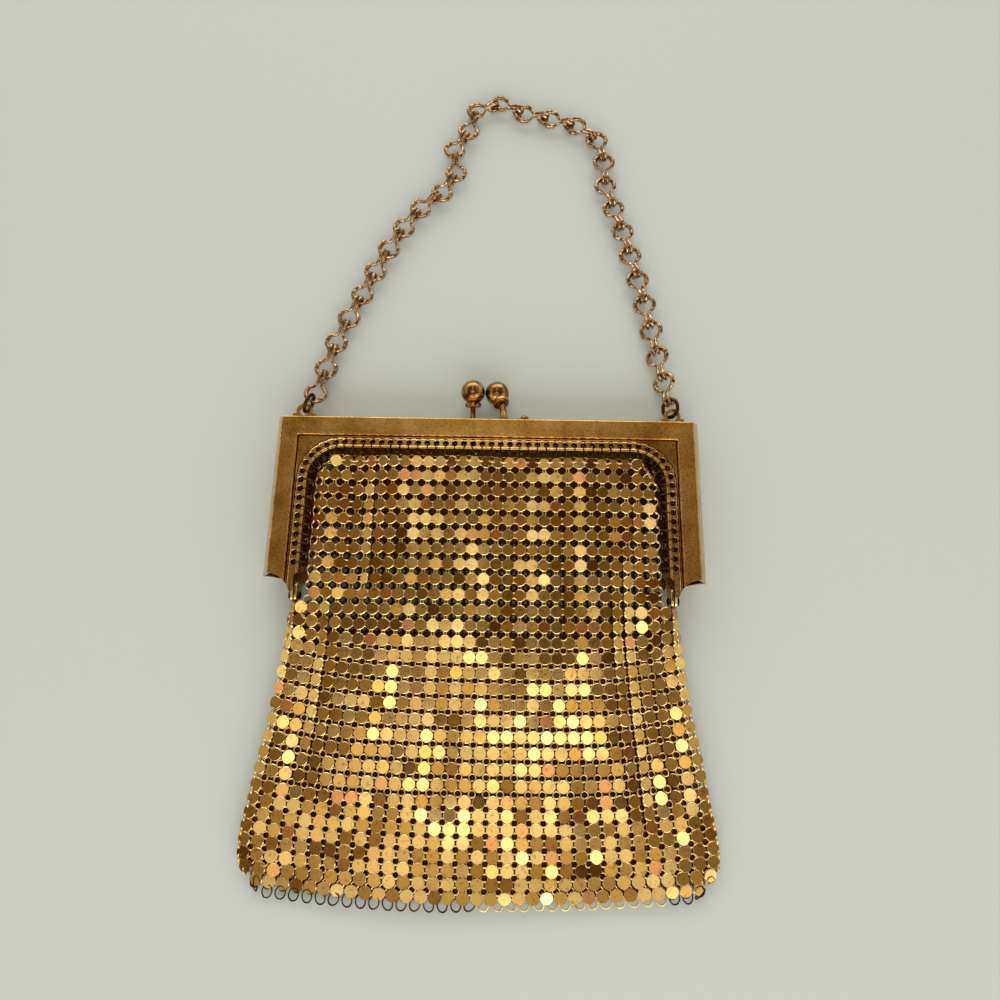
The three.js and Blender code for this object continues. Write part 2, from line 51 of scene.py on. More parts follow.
MM = 0.001
# The plane between the halves lies 4.2 above the surface, and each half's face 4.2 away from that plane
PARTING = 4.2
FACE_HEIGHT = 4.2
FACE_HALF_WIDTH = 53.6
PLATE_HALF_WIDTH = 49.2
PLATE_TOP = -5.0
BAND_CORNER = 11.5
BAND_MIDDLE = 1.575
ARM_LENGTH = 45.8
WALL_FOOT_TOP = 1.15
SHIFT_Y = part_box("front_frame")[1].y / MM - WALL_FOOT_TOP


def alone(piece):
    """Leaves edit mode and selects one piece for the operators that follow"""
    if bpy.context.object and bpy.context.object.mode == "EDIT":
        bpy.ops.object.mode_set(mode="OBJECT")
    bpy.ops.object.select_all(action="DESELECT")
    piece.select_set(True)
    bpy.context.view_layer.objects.active = piece
    return piece


def pick(piece, kind, test):
    """Goes into edit mode with only those vertices, edges or polygons selected whose place passes a test"""
    alone(piece)
    bpy.ops.object.mode_set(mode="EDIT")
    bpy.ops.mesh.select_mode(type={"vertices": "VERT", "edges": "EDGE", "polygons": "FACE"}[kind])
    bpy.ops.mesh.select_all(action="DESELECT")
    bpy.ops.object.mode_set(mode="OBJECT")
    points = piece.data.vertices
    for item in getattr(piece.data, kind):
        corners = [item.index] if kind == "vertices" else item.vertices
        place = sum((points[i].co for i in corners), Vector()) / len(corners)
        item.select = bool(test(place, item))
    bpy.ops.object.mode_set(mode="EDIT")


def joined(name, pieces):
    alone(pieces[0])
    for piece in pieces:
        piece.select_set(True)
    bpy.ops.object.join()
    whole = bpy.context.object
    whole.name = whole.data.name = name
    return whole


def finished_with(piece, kind, **settings):
    """Adds a modifier and applies it"""
    alone(piece)
    modifier = piece.modifiers.new(kind.title(), kind)
    for setting, value in settings.items():
        setattr(modifier, setting, value)
    bpy.ops.object.modifier_apply(modifier=modifier.name)


def cut(piece, cutter):
    finished_with(piece, "BOOLEAN", object=cutter, operation="DIFFERENCE", solver="EXACT")
    bpy.data.objects.remove(cutter)


def smooth(piece, degrees):
    alone(piece)
    bpy.ops.object.shade_smooth_by_angle(angle=math.radians(degrees))
    finished_with(piece, "WEIGHTED_NORMAL", keep_sharp=True)


def outline(half_width, top, corner, height):
    """One arch of wire: a plane's edges without the lowest one, with the two upper corners rounded"""
    bpy.ops.mesh.primitive_plane_add(size=1, location=(0, (top - ARM_LENGTH) / 2, height))
    arch = alone(bpy.context.object)
    arch.scale = (2 * half_width, top + ARM_LENGTH, 1)
    bpy.ops.object.transform_apply()
    pick(arch, "polygons", lambda place, face: True)
    bpy.ops.mesh.delete(type="ONLY_FACE")
    pick(arch, "edges", lambda place, edge: place.y < -ARM_LENGTH + 1)
    bpy.ops.mesh.delete(type="EDGE")
    pick(arch, "vertices", lambda place, vertex: place.y > top - 1)
    bpy.ops.mesh.bevel(offset=corner, segments=14, affect="VERTICES")
    bpy.ops.object.mode_set(mode="OBJECT")
    return arch


# Half width, top, corner radius and height above the parting plane, round the section of the sheet
section_rows = [
    (55.60, 1.15, 0.60, 0.15),
    (53.78, 0.11, 0.55, 3.80),
    (53.66, 0.02, 0.52, 4.05),
    (53.47, -0.13, 0.50, 4.17),
    (53.20, -0.40, 0.48, 4.20),
    (49.55, -4.65, 0.55, 4.20),
    (49.36, -4.84, 0.50, 4.14),
    (49.24, -4.96, 0.46, 3.98),
    (49.20, -5.00, 0.44, 3.75),
    (49.17, -5.03, 0.42, 3.32),
    (49.08, -5.12, 0.40, 3.26),
    (48.99, -5.21, 0.40, 3.32),
    (48.93, -5.27, 0.40, 3.45),
    (48.88, -5.32, 11.18, 3.45),
    (48.70, -5.50, 11.00, 3.38),
    (48.60, -5.60, 10.90, 3.05),
    (48.50, -5.70, 10.80, 2.95),
    (46.85, -7.35, 9.15, 2.92),
    (46.65, -7.55, 8.95, 3.03),
    (46.40, -7.80, 8.70, 3.08),
    (46.16, -8.04, 8.46, 3.00),
    (46.05, -8.15, 8.35, 2.80),
    (46.05, -8.15, 8.35, 2.40),
    (48.90, -5.30, 11.20, 2.35),
    (49.60, -4.60, 0.60, 2.90),
    (49.80, -4.40, 0.60, 3.60),
    (52.95, -0.75, 0.50, 3.62),
    (54.95, 0.55, 0.50, 0.15),
]
arches = [outline(*row) for row in section_rows]
for index, arch in enumerate(arches):
    rows = arch.data.attributes.new("row", "INT", "POINT")
    rows.data.foreach_set("value", [index] * len(arch.data.vertices))
half_frame = joined("half_frame", arches)
row_of = [item.value for item in half_frame.data.attributes["row"].data]
for index in range(len(section_rows)):
    pair = {index, (index + 1) % len(section_rows)}
    pick(half_frame, "vertices", lambda place, vertex: row_of[vertex.index] in pair)
    bpy.ops.mesh.bridge_edge_loops()
for side in (-1, 1):
    pick(half_frame, "vertices", lambda place, vertex: place.x * side > 0 and place.y < -ARM_LENGTH + 0.01)
    bpy.ops.mesh.edge_face_add()
bpy.ops.mesh.select_all(action="SELECT")
bpy.ops.mesh.normals_make_consistent(inside=False)
bpy.ops.object.mode_set(mode="OBJECT")
half_frame.data.attributes.remove(half_frame.data.attributes["row"])

# A round bite out of each arm's end
BITE_RADIUS = 5.7
BITE_Y = -47.2
for side in (-1, 1):
    middle = (side * FACE_HALF_WIDTH, BITE_Y, 2)
    bpy.ops.mesh.primitive_cylinder_add(vertices=64, radius=BITE_RADIUS, depth=14, location=middle)
    cut(half_frame, bpy.context.object)


def turned(name, profile, steps, at=(0, 0, 0), towards=(0, 0, 1)):
    """A round form: its half profile of radius and height, drawn point by point, spun and closed"""
    bpy.ops.mesh.primitive_plane_add(size=1)
    piece = alone(bpy.context.object)
    piece.name = piece.data.name = name
    bpy.ops.object.mode_set(mode="EDIT")
    bpy.ops.mesh.select_mode(type="VERT")
    bpy.ops.mesh.select_all(action="SELECT")
    bpy.ops.mesh.merge(type="CENTER")
    bpy.ops.transform.translate(value=(profile[0][0], 0, profile[0][1]))
    for (radius, height), (next_radius, next_height) in zip(profile, profile[1:]):
        step = (next_radius - radius, 0, next_height - height)
        bpy.ops.mesh.extrude_region_move(TRANSFORM_OT_translate={"value": step})
    bpy.ops.mesh.select_all(action="SELECT")
    bpy.ops.mesh.spin(steps=steps, angle=2 * math.pi, center=(0, 0, 0), axis=(0, 0, 1))
    bpy.ops.mesh.select_all(action="SELECT")
    bpy.ops.mesh.remove_doubles(threshold=0.0005)
    bpy.ops.mesh.normals_make_consistent(inside=False)
    bpy.ops.object.mode_set(mode="OBJECT")
    piece.rotation_mode = "QUATERNION"
    piece.rotation_quaternion = Vector(towards).to_track_quat("Z", "Y")
    piece.location = at
    bpy.ops.object.transform_apply()
    return piece


def set_out(name, template, places):
    """Copies of a template as one mesh, each at its own point, turn and shade: instances, realized"""
    points = bpy.data.meshes.new(name)
    points.from_pydata([place for place, turn, shade in places], [], [])
    turns = points.attributes.new("turn", "QUATERNION", "POINT")
    turns.data.foreach_set("value", [part for place, turn, shade in places for part in turn])
    shades = points.attributes.new("shade", "FLOAT", "POINT")
    shades.data.foreach_set("value", [shade for place, turn, shade in places])
    piece = bpy.data.objects.new(name, points)
    bpy.context.scene.collection.objects.link(piece)
    tree = bpy.data.node_groups.new(name, "GeometryNodeTree")
    tree.interface.new_socket("Geometry", in_out="INPUT", socket_type="NodeSocketGeometry")
    tree.interface.new_socket("Geometry", in_out="OUTPUT", socket_type="NodeSocketGeometry")
    start = tree.nodes.new("NodeGroupInput")
    model = tree.nodes.new("GeometryNodeObjectInfo")
    model.inputs["Object"].default_value = template
    turn = tree.nodes.new("GeometryNodeInputNamedAttribute")
    turn.data_type = "QUATERNION"
    turn.inputs["Name"].default_value = "turn"
    copies = tree.nodes.new("GeometryNodeInstanceOnPoints")
    real = tree.nodes.new("GeometryNodeRealizeInstances")
    end = tree.nodes.new("NodeGroupOutput")
    tree.links.new(start.outputs[0], copies.inputs["Points"])
    tree.links.new(model.outputs["Geometry"], copies.inputs["Instance"])
    tree.links.new(turn.outputs["Attribute"], copies.inputs["Rotation"])
    tree.links.new(copies.outputs["Instances"], real.inputs["Geometry"])
    tree.links.new(real.outputs["Geometry"], end.inputs[0])
    finished_with(piece, "NODES", node_group=tree)
    piece.data.attributes.remove(piece.data.attributes["turn"])
    bpy.data.objects.remove(template)
    bpy.data.node_groups.remove(tree)
    return piece


# The line of holes runs along the middle of the band: place and the direction towards the opening
HOLES = 64
HOLE_LINE_END = -38.5
corner_x = PLATE_HALF_WIDTH - BAND_CORNER
corner_y = PLATE_TOP - BAND_CORNER
line_radius = BAND_CORNER - BAND_MIDDLE
arm_run = corner_y - HOLE_LINE_END
arc_run = line_radius * math.pi / 2
half_run = arm_run + arc_run + corner_x
hole_places = []
for index in range(HOLES):
    run = (index - (HOLES - 1) / 2) * 2 * half_run / (HOLES - 1)
    side = math.copysign(1, run)
    past = abs(run) - corner_x
    if past < 0:
        hole_places.append((Vector((run, corner_y + line_radius, 0)), Vector((0, -1, 0))))
    elif past < arc_run:
        out = Vector((side * math.sin(past / line_radius), math.cos(past / line_radius), 0))
        hole_places.append((Vector((side * corner_x, corner_y, 0)) + out * line_radius, -out))
    else:
        place = Vector((side * (corner_x + line_radius), corner_y - (past - arc_run), 0))
        hole_places.append((place, Vector((-side, 0, 0))))

hole_profile = [(0, 1.8), (0.74, 1.8), (0.74, 2.8), (0.9, 3.0), (1.05, 3.4), (0, 3.4)]
punch = turned("punch", hole_profile, 16)
upright = Quaternion()
cut(half_frame, set_out("punches", punch, [(place, upright, 0) for place, inward in hole_places]))


def copied(piece, name):
    twin = piece.copy()
    twin.data = piece.data.copy()
    twin.name = twin.data.name = name
    bpy.context.scene.collection.objects.link(twin)
    return alone(twin)


def box_cutter(low, high, rounding=0.0):
    middle = [(a + b) / 2 for a, b in zip(low, high)]
    bpy.ops.mesh.primitive_cube_add(size=1, location=middle)
    cutter = alone(bpy.context.object)
    cutter.scale = [b - a for a, b in zip(low, high)]
    bpy.ops.object.transform_apply()
    if rounding:
        pick(cutter, "edges", lambda place, edge: abs(place.z - middle[2]) < 0.01)
        bpy.ops.mesh.bevel(offset=rounding, segments=8)
        bpy.ops.object.mode_set(mode="OBJECT")
    return cutter


HINGE_Y = -46.4
FRONT_TAB_X = 47.6
BACK_TAB_X = 46.7
TAB_RADIUS = 1.8
TAB_THICKNESS = 0.6
TAB_FORWARD = 0.75
TAB_HOLE = 0.72
MOUTH_CUT_TOP = -41
MOUTH_CUT_CORNER = 1.3


def hinge_tab(x):
    """A flat plate across X with a round lower end and a rivet hole, drawn out forward to the band"""
    at, across = (x, HINGE_Y, 0), (0, math.pi / 2, 0)
    bpy.ops.mesh.primitive_cylinder_add(
        vertices=32, radius=TAB_RADIUS, depth=TAB_THICKNESS, location=at, rotation=across
    )
    tab = alone(bpy.context.object)
    bpy.ops.object.transform_apply()
    pick(tab, "vertices", lambda place, vertex: place.y > HINGE_Y + 0.01)
    bpy.ops.transform.translate(value=(0, TAB_RADIUS, 0))
    pick(tab, "vertices", lambda place, vertex: place.y > HINGE_Y + 0.01 and place.z > 0.1)
    bpy.ops.transform.translate(value=(0, 0, TAB_FORWARD))
    bpy.ops.mesh.select_all(action="SELECT")
    bpy.ops.mesh.bevel(offset=0.08, segments=1)
    bpy.ops.object.mode_set(mode="OBJECT")
    bpy.ops.mesh.primitive_cylinder_add(vertices=24, radius=TAB_HOLE, depth=3, location=at, rotation=across)
    cut(tab, bpy.context.object)
    return tab


def with_tabs(half, name, tab_x):
    """Cuts the mouth's arms back to the hinge tabs and adds the tabs"""
    inside = tab_x - TAB_THICKNESS / 2
    cut(half, box_cutter((-inside, -60, -1), (inside, MOUTH_CUT_TOP, 9), MOUTH_CUT_CORNER))
    return joined(name, [half, hinge_tab(-tab_x), hinge_tab(tab_x)])


def settled(piece, height=0.0):
    """Moves a finished piece from its drawing in millimetres to its place in the CAD frame, in metres"""
    alone(piece)
    piece.scale = (MM, MM, MM)
    piece.location = (0, SHIFT_Y * MM, height * MM)
    bpy.ops.object.transform_apply()
    return piece


back_frame = copied(half_frame, "back_frame")
front_frame = with_tabs(half_frame, "stamped_front_frame", FRONT_TAB_X)
back_frame = with_tabs(back_frame, "stamped_back_frame", BACK_TAB_X)
alone(back_frame)
back_frame.rotation_euler = (0, math.pi, 0)
bpy.ops.object.transform_apply()

# Ears: two flat plates soldered inside the back half's top wall, each with a hole for an end ring
EAR_X = PLATE_HALF_WIDTH
EAR_Y = 3.2
EAR_Z = 3.7
EAR_RADIUS = 2.2
EAR_THICKNESS = 0.7
EAR_HOLE = 1.3
EAR_FLARE = 1.55
EAR_FLARE_TOP = 2.6
EAR_FOOT_TOP = 2.1
EAR_FOOT_LENGTH = 0.9
ears = []
for side in (-1, 1):
    middle = (side * EAR_X, EAR_Y, EAR_Z - PARTING)
    bpy.ops.mesh.primitive_cylinder_add(vertices=48, radius=EAR_RADIUS, depth=EAR_THICKNESS, location=middle)
    ear = alone(bpy.context.object)
    bpy.ops.object.transform_apply()
    pick(ear, "vertices", lambda place, vertex: place.y < EAR_FLARE_TOP)
    bpy.ops.transform.resize(value=(EAR_FLARE, 1, 1), center_override=middle)
    pick(ear, "vertices", lambda place, vertex: place.y < EAR_FOOT_TOP)
    bpy.ops.transform.translate(value=(0, -EAR_FOOT_LENGTH, 0))
    bpy.ops.object.mode_set(mode="OBJECT")
    bpy.ops.mesh.primitive_cylinder_add(vertices=32, radius=EAR_HOLE, depth=4, location=middle)
    cut(ear, bpy.context.object)
    pick(ear, "edges", lambda place, edge: abs(abs(place.z - middle[2]) - EAR_THICKNESS / 2) < 0.01)
    bpy.ops.mesh.bevel(offset=0.1, segments=2)
    bpy.ops.object.mode_set(mode="OBJECT")
    ears.append(ear)
back_frame = joined("stamped_back_frame", [back_frame, *ears])

# The knobs' posts and the small rivet pass through holes in the top wall, which leans out by 1.2
LEFT_POST_RADIUS = 0.7
RIGHT_POST_RADIUS = 0.9
SHANK_RADIUS = 0.45
CLEARANCE = 0.15
BORE_HALF_LENGTH = 2.1
WALL_LEAN = 1.2
left_post = [(-4.1, -1.2, 1.9), (-4.1, 0.9, 2.6), (-4.03, 5.3, 4.1)]
right_post = [(4.7, -1.4, 6.3), (4.5, 0.5, 6.2), (3.4, 6.0, 5.1)]
STUD_X = 9.7
STUD_Z = 5.5
top_rivet_base = Vector((STUD_X, WALL_LEAN * (PARTING + FACE_HEIGHT - STUD_Z) / FACE_HEIGHT, STUD_Z))
top_wall_normal = Vector((0, FACE_HEIGHT, WALL_LEAN)).normalized()


def bore(half, shank, at, towards):
    """A hole for a shank of that radius through a half frame, along a direction"""
    place = Vector(at) - Vector((0, 0, PARTING))
    radius, end = shank + CLEARANCE, BORE_HALF_LENGTH
    cut(half, turned("bore", [(0, -end), (radius, -end), (radius, end), (0, end)], 24, place, towards))


bore(back_frame, LEFT_POST_RADIUS, left_post[1], Vector(left_post[1]) - Vector(left_post[0]))
bore(front_frame, RIGHT_POST_RADIUS, right_post[1], Vector(right_post[1]) - Vector(right_post[0]))
bore(front_frame, SHANK_RADIUS, top_rivet_base, top_wall_normal)
for half in (front_frame, back_frame):
    smooth(half, 32)
    settled(half, PARTING)


def linear(value):
    """A colour written as an sRGB hex value, as the linear colour that a shader works with"""
    parts = [int(value[i:i + 2], 16) / 255 for i in (1, 3, 5)]
    return [c / 12.92 if c < 0.04045 else ((c + 0.055) / 1.055) ** 2.4 for c in parts] + [1.0]


def add(tree, kind, inputs=None, **settings):
    """Adds a node, sets its properties, and gives each named input a value or a link"""
    node = tree.nodes.new(kind)
    for setting, value in settings.items():
        setattr(node, setting, value)
    for key, value in (inputs or {}).items():
        if isinstance(value, bpy.types.NodeSocket):
            tree.links.new(value, node.inputs[key])
        else:
            node.inputs[key].default_value = value
    return node


def blank(name):
    material = bpy.data.materials.new(name)
    material.use_nodes = True
    material.node_tree.nodes.clear()
    return material, material.node_tree


def ramp(tree, factor, stops):
    """A colour ramp from a list of places and hex colours"""
    node = add(tree, "ShaderNodeValToRGB", {"Fac": factor})
    while len(node.color_ramp.elements) < len(stops):
        node.color_ramp.elements.new(1.0)
    for element, (place, value) in zip(node.color_ramp.elements, stops):
        element.position = place
        element.color = linear(value)
    return node.outputs["Color"]


def mixed(tree, factor, first, second, way="MULTIPLY"):
    """Two colours mixed. The node's sockets 6 and 7 are its colours, and 2 is the result"""
    inputs = {"Factor": factor, 6: first, 7: second}
    return add(tree, "ShaderNodeMix", inputs, data_type="RGBA", blend_type=way).outputs[2]


def noisy(tree, place, scale, detail):
    return add(tree, "ShaderNodeTexNoise", {"Vector": place, "Scale": scale, "Detail": detail}).outputs["Fac"]


def reckoned(tree, operation, *values):
    return add(tree, "ShaderNodeMath", dict(enumerate(values)), operation=operation).outputs[0]


def bumped(tree, height, strength, distance, below=None):
    """Relief from a height, with its depth in metres, on top of another relief where one is given"""
    inputs = {"Height": height, "Strength": strength, "Distance": distance}
    if below:
        inputs["Normal"] = below
    return add(tree, "ShaderNodeBump", inputs).outputs[0]


def metal(tree, colour, roughness, normal):
    shader = add(tree, "ShaderNodeBsdfPrincipled", {
        "Base Color": colour, "Metallic": 1.0, "Roughness": roughness, "Normal": normal,
    })
    add(tree, "ShaderNodeOutputMaterial", {"Surface": shader.outputs[0]})


# Gold-plated stamped brass: rubbed matt on the raised border, with fine scratches along it. Its colour
# changes with
# height: a painted highlight on the border's rounded inner edge, painted shade with some brown tarnish down
# in the groove and on the steps below the border and the plate, and painted shade that leaves the border's
# top a little darker than the band. The heights are those of the section above.
TARNISH_AND_PAINTED_LIGHT_FROM = 2.8
gold, tree = blank("gold_plated_stamped_brass")
place = add(tree, "ShaderNodeTexCoord").outputs["Object"]
height = add(tree, "ShaderNodeSeparateXYZ", {"Vector": place}).outputs["Z"]
level = reckoned(tree, "ABSOLUTE", reckoned(tree, "ADD", height, -PARTING * MM))
share = add(tree, "ShaderNodeMapRange", {
    "Value": level, "From Min": TARNISH_AND_PAINTED_LIGHT_FROM * MM, "From Max": FACE_HEIGHT * MM,
}).outputs["Result"]
clouds = noisy(tree, place, 130.0, 5.0)
grain = noisy(tree, place, 2000.0, 4.0)
along = add(tree, "ShaderNodeMapping", {"Vector": place, "Scale": (60.0, 2600.0, 600.0)}).outputs[0]
scratches = noisy(tree, along, 1.0, 3.0)
plating = ramp(tree, clouds, [(0.3, "#C89C54"), (0.5, "#E2BA6E"), (0.72, "#F2D294")])
# Painted light by height: shade with some tarnish in the groove and on the steps down, a highlight on the
# border's rounded edge, and a slightly darker border top
tarnish_and_painted_light = ramp(tree, share, [
    (0.0, "#FFFFFF"), (0.22, "#FFFFFF"), (0.31, "#5A3A18"), (0.42, "#5A3A18"), (0.46, "#E8D6BE"),
    (0.5, "#F4E6D2"), (0.6, "#5E3E1A"), (0.8, "#FFF4E4"), (0.97, "#F0E4D2"), (1.0, "#E8DAC6"),
])
specks = ramp(tree, grain, [(0.36, "#A88A5E"), (0.46, "#ECE6DC"), (0.66, "#FFFFFF")])
colour = mixed(tree, 1.0, mixed(tree, 0.6, plating, specks), tarnish_and_painted_light)
rubbed = add(tree, "ShaderNodeMapRange", {
    "Value": share, "From Min": 0.96, "From Max": 1.0, "To Min": 0.17, "To Max": 0.25,
}).outputs["Result"]
roughness = reckoned(tree, "MULTIPLY_ADD", grain, 0.12, rubbed)
dents = bumped(tree, clouds, 0.4, 0.0006)
scored = bumped(tree, scratches, 0.25, 0.00003, dents)
metal(tree, colour, roughness, bumped(tree, grain, 0.3, 0.00004, scored))


def handed_in(piece, material, slot, *nodes):
    """Gives a finished piece its material and its body, and hides the CAD nodes that it stands for. The slot
    is not used
    """
    piece.data.materials.clear()
    piece.data.materials.append(material)
    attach(piece, "root")
    if nodes:
        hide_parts(*nodes)


handed_in(front_frame, gold, "frame_brass", "front_frame")
handed_in(back_frame, gold, "frame_brass", "back_frame")

# Hinge rivets and the small rivet beside the clasp
# Turned brass pins with domed heads, gone dark brown in the joints where they are never rubbed.


def brown_metal(name, stops, roughness, scale):
    """Tarnished metal: a cloudy colour from a few stops over real millimetres, and a finely pitted surface"""
    material, tree = blank(name)
    place = add(tree, "ShaderNodeTexCoord").outputs["Object"]
    clouds = noisy(tree, place, scale, 4.0)
    pits = noisy(tree, place, 2200.0, 3.0)
    rough = reckoned(tree, "MULTIPLY_ADD", clouds, 0.2, roughness - 0.1)
    metal(tree, ramp(tree, clouds, stops), rough, bumped(tree, pits, 0.3, 0.00003))
    return material


dark_brass = brown_metal("tarnished_brass", [
    (0.3, "#241808"), (0.55, "#4A3418"), (0.75, "#7A5C30"),
], 0.36, 400)
PIN_X = 47.35
rivet_profile = [
    (0, -1.8), (0.5, -1.75), (0.95, -1.55), (1.1, -1.3), (0.6, -1.3), (0.6, 0.9), (1.1, 0.9), (0.95, 1.2),
    (0.5, 1.38), (0, 1.43),
]
for side, word in ((-1, "left"), (1, "right")):
    pin = turned(f"hinge_pin_{word}", rivet_profile, 24, (side * PIN_X, HINGE_Y, PARTING), (side, 0, 0))
    smooth(pin, 40)
    handed_in(settled(pin), dark_brass, "tarnished_brass", f"hinge_rivet_{word}")

stud_profile = [
    (0, -1.6), (SHANK_RADIUS, -1.6), (SHANK_RADIUS, 0.25), (1.15, 0.27), (1.13, 0.5), (0.98, 0.8),
    (0.68, 1.1), (0.35, 1.24), (0, 1.28),
]
stud = turned("top_stud", stud_profile, 28, top_rivet_base, top_wall_normal)
smooth(stud, 40)

# Kiss-lock knobs
# Two hollow brass balls with a flat collar, each on a drawn post. Copper shows through where fingers have
# rubbed the gold off, so they are pinker than the frame and blotched with brown.


def bent_wire(name, points, radius, closed=False, swell=None, rounding=2):
    """Round wire along a line of points: a curve with a round bevel, made a mesh"""
    curve = bpy.data.curves.new(name, "CURVE")
    curve.dimensions = "3D"
    curve.bevel_depth = radius
    curve.bevel_resolution = rounding
    curve.use_fill_caps = not closed
    line = curve.splines.new("POLY")
    line.points.add(len(points) - 1)
    line.use_cyclic_u = closed
    for index, (spot, place) in enumerate(zip(line.points, points)):
        spot.co = (*place, 1)
        spot.radius = swell[index] if swell else 1
    piece = bpy.data.objects.new(name, curve)
    bpy.context.scene.collection.objects.link(piece)
    alone(piece)
    bpy.ops.object.convert(target="MESH")
    piece = bpy.context.object
    bpy.ops.object.mode_set(mode="EDIT")
    bpy.ops.mesh.select_all(action="SELECT")
    bpy.ops.mesh.remove_doubles(threshold=0.0005)
    bpy.ops.mesh.normals_make_consistent(inside=False)
    bpy.ops.object.mode_set(mode="OBJECT")
    return piece


def through(points, steps, closed=False):
    """A smooth line through points, eased by the root of their spacing, with a number of steps per span"""
    points = [np.array(point, float) for point in points]
    count = len(points)
    if not closed:
        points = [2 * points[0] - points[1], *points, 2 * points[-1] - points[-2]]
    line = []
    for index in range(count if closed else count - 1):
        if closed:
            a, b, c, d = (points[(index + k - 1) % count] for k in range(4))
        else:
            a, b, c, d = points[index:index + 4]
        t0, t1, t2 = (np.linalg.norm(q - p) ** 0.5 for p, q in ((a, b), (b, c), (c, d)))
        leave = ((b - a) / t0 - (c - a) / (t0 + t1) + (c - b) / t1) * t1
        arrive = ((c - b) / t1 - (d - b) / (t1 + t2) + (d - c) / t2) * t1
        span = steps[index] if isinstance(steps, list) else steps
        for step in range(span):
            t = step / span
            line.append(
                (2 * t ** 3 - 3 * t ** 2 + 1) * b + (t ** 3 - 2 * t ** 2 + t) * leave
                + (3 * t ** 2 - 2 * t ** 3) * c + (t ** 3 - t ** 2) * arrive
            )
    if not closed:
        line.append(points[-2])
    return line


BALL_RADIUS = 3.2
BALL_END = 150
ball_arc = [
    (BALL_RADIUS * math.sin(angle), BALL_RADIUS * math.cos(angle))
    for angle in np.linspace(0, math.radians(BALL_END), 24)
]
collar_profile = [
    (1.75, -2.9), (2.05, -2.98), (2.2, -3.15), (2.2, -3.75), (2.12, -3.95), (1.9, -4.1), (0.9, -4.2),
    (0, -4.2),
]
knob_copper = brown_metal("rubbed_gold_over_copper", [
    (0.3, "#43260F"), (0.45, "#7E5630"), (0.6, "#AA884E"), (0.78, "#D6B676"),
], 0.17, 420)
for word, post, ball, radius in (
    ("left", left_post, (-4.1, 8.8, 5.15), LEFT_POST_RADIUS),
    ("right", right_post, (2.3, 9.0, 4.05), RIGHT_POST_RADIUS),
):
    lean = Vector(ball) - Vector(post[-1])
    head = turned(f"kiss_lock_{word}", ball_arc + collar_profile, 48, ball, lean)
    stem = bent_wire("stem", through([*post, tuple(Vector(post[-1]) + lean * 0.1)], 6), radius, rounding=6)
    knob = joined(f"kiss_lock_{word}", [head, stem])
    smooth(knob, 40)
    handed_in(settled(knob), knob_copper, "knob_brass", f"clasp_knob_{word}")
handed_in(settled(stud), knob_copper, "knob_brass", "top_rivet")

# Chain
# Each link is one length of rosy brass wire: a ring with a chased, notched surface, whose two ends run on
# side by side, fold over the next link's ring and meet beneath it. Dark oval rings hold it in the ears.
LINKS = 29
CHAIN_REACH = 106.4
RING = 2.5
WIRE = 0.44
RIM_INSET = 0.15
HOOK_RADIUS = 1.38
HOOK_LAST_BEND = -70
HALF_STRAND_GAP = 0.62
END_RING = 2.45
END_WIRE = 0.5
FIRST_RUN = 5.96
UNDER_CHAIN = 0.14
CHAIN_HEIGHT = HOOK_RADIUS * math.sin(math.radians(-HOOK_LAST_BEND)) + WIRE + UNDER_CHAIN
# The line of the rings, as shares of the ears' distance from the middle and of the chain's reach
chain_shares = [
    (-0.9533, 0.08177), (-0.8659, 0.235), (-0.7378, 0.3769), (-0.6037, 0.516), (-0.437, 0.641),
    (-0.315, 0.6917), (-0.2317, 0.7538), (-0.248, 0.8318), (-0.1687, 0.8929), (-0.1321, 0.9662),
    (0.006098, 1.0), (0.1667, 0.9662), (0.4919, 0.9258), (0.624, 0.8769), (0.6667, 0.7998),
    (0.6707, 0.7265), (0.7703, 0.5714), (0.8841, 0.343), (0.9675, 0.1259),
]
left_hole = Vector((-EAR_X, EAR_Y, EAR_Z))
right_hole = Vector((EAR_X, EAR_Y, EAR_Z))
route = [Vector((x * EAR_X, y * CHAIN_REACH, CHAIN_HEIGHT)) for x, y in chain_shares]
hole_below = Vector((-EAR_X, EAR_Y, CHAIN_HEIGHT))
route[0] = hole_below + (route[0] - hole_below).normalized() * FIRST_RUN
dense = np.array(through(route, 60))
runs = np.concatenate([[0], np.cumsum(np.linalg.norm(np.diff(dense, axis=0), axis=1))])
spots = np.linspace(0, runs[-1], LINKS)
ring_centres = [Vector([np.interp(spot, runs, dense[:, axis]) for axis in range(3)]) for spot in spots]
# The chain climbs to the ears at both ends, in millimetres, and rolls over near the right one, in degrees
rises = {0: 1.1, 24: 0.1, 25: 0.2, 26: 0.25, 27: 0.4, 28: 1.1}
rolls = {25: 10, 26: 20, 27: 30, 28: 40}
for index, rise in rises.items():
    ring_centres[index].z += rise


def aimed(piece, centre, direction, roll):
    """Turns a piece so that its own X points along a direction, with Y level, and then rolls it about X"""
    forward = direction.normalized()
    level = Vector((0, 0, 1)).cross(forward).normalized()
    turn = Matrix((forward, level, forward.cross(level))).transposed().to_4x4()
    alone(piece)
    piece.matrix_world = Matrix.Translation(centre) @ turn @ Matrix.Rotation(math.radians(roll), 4, "X")
    bpy.ops.object.transform_apply()
    return piece


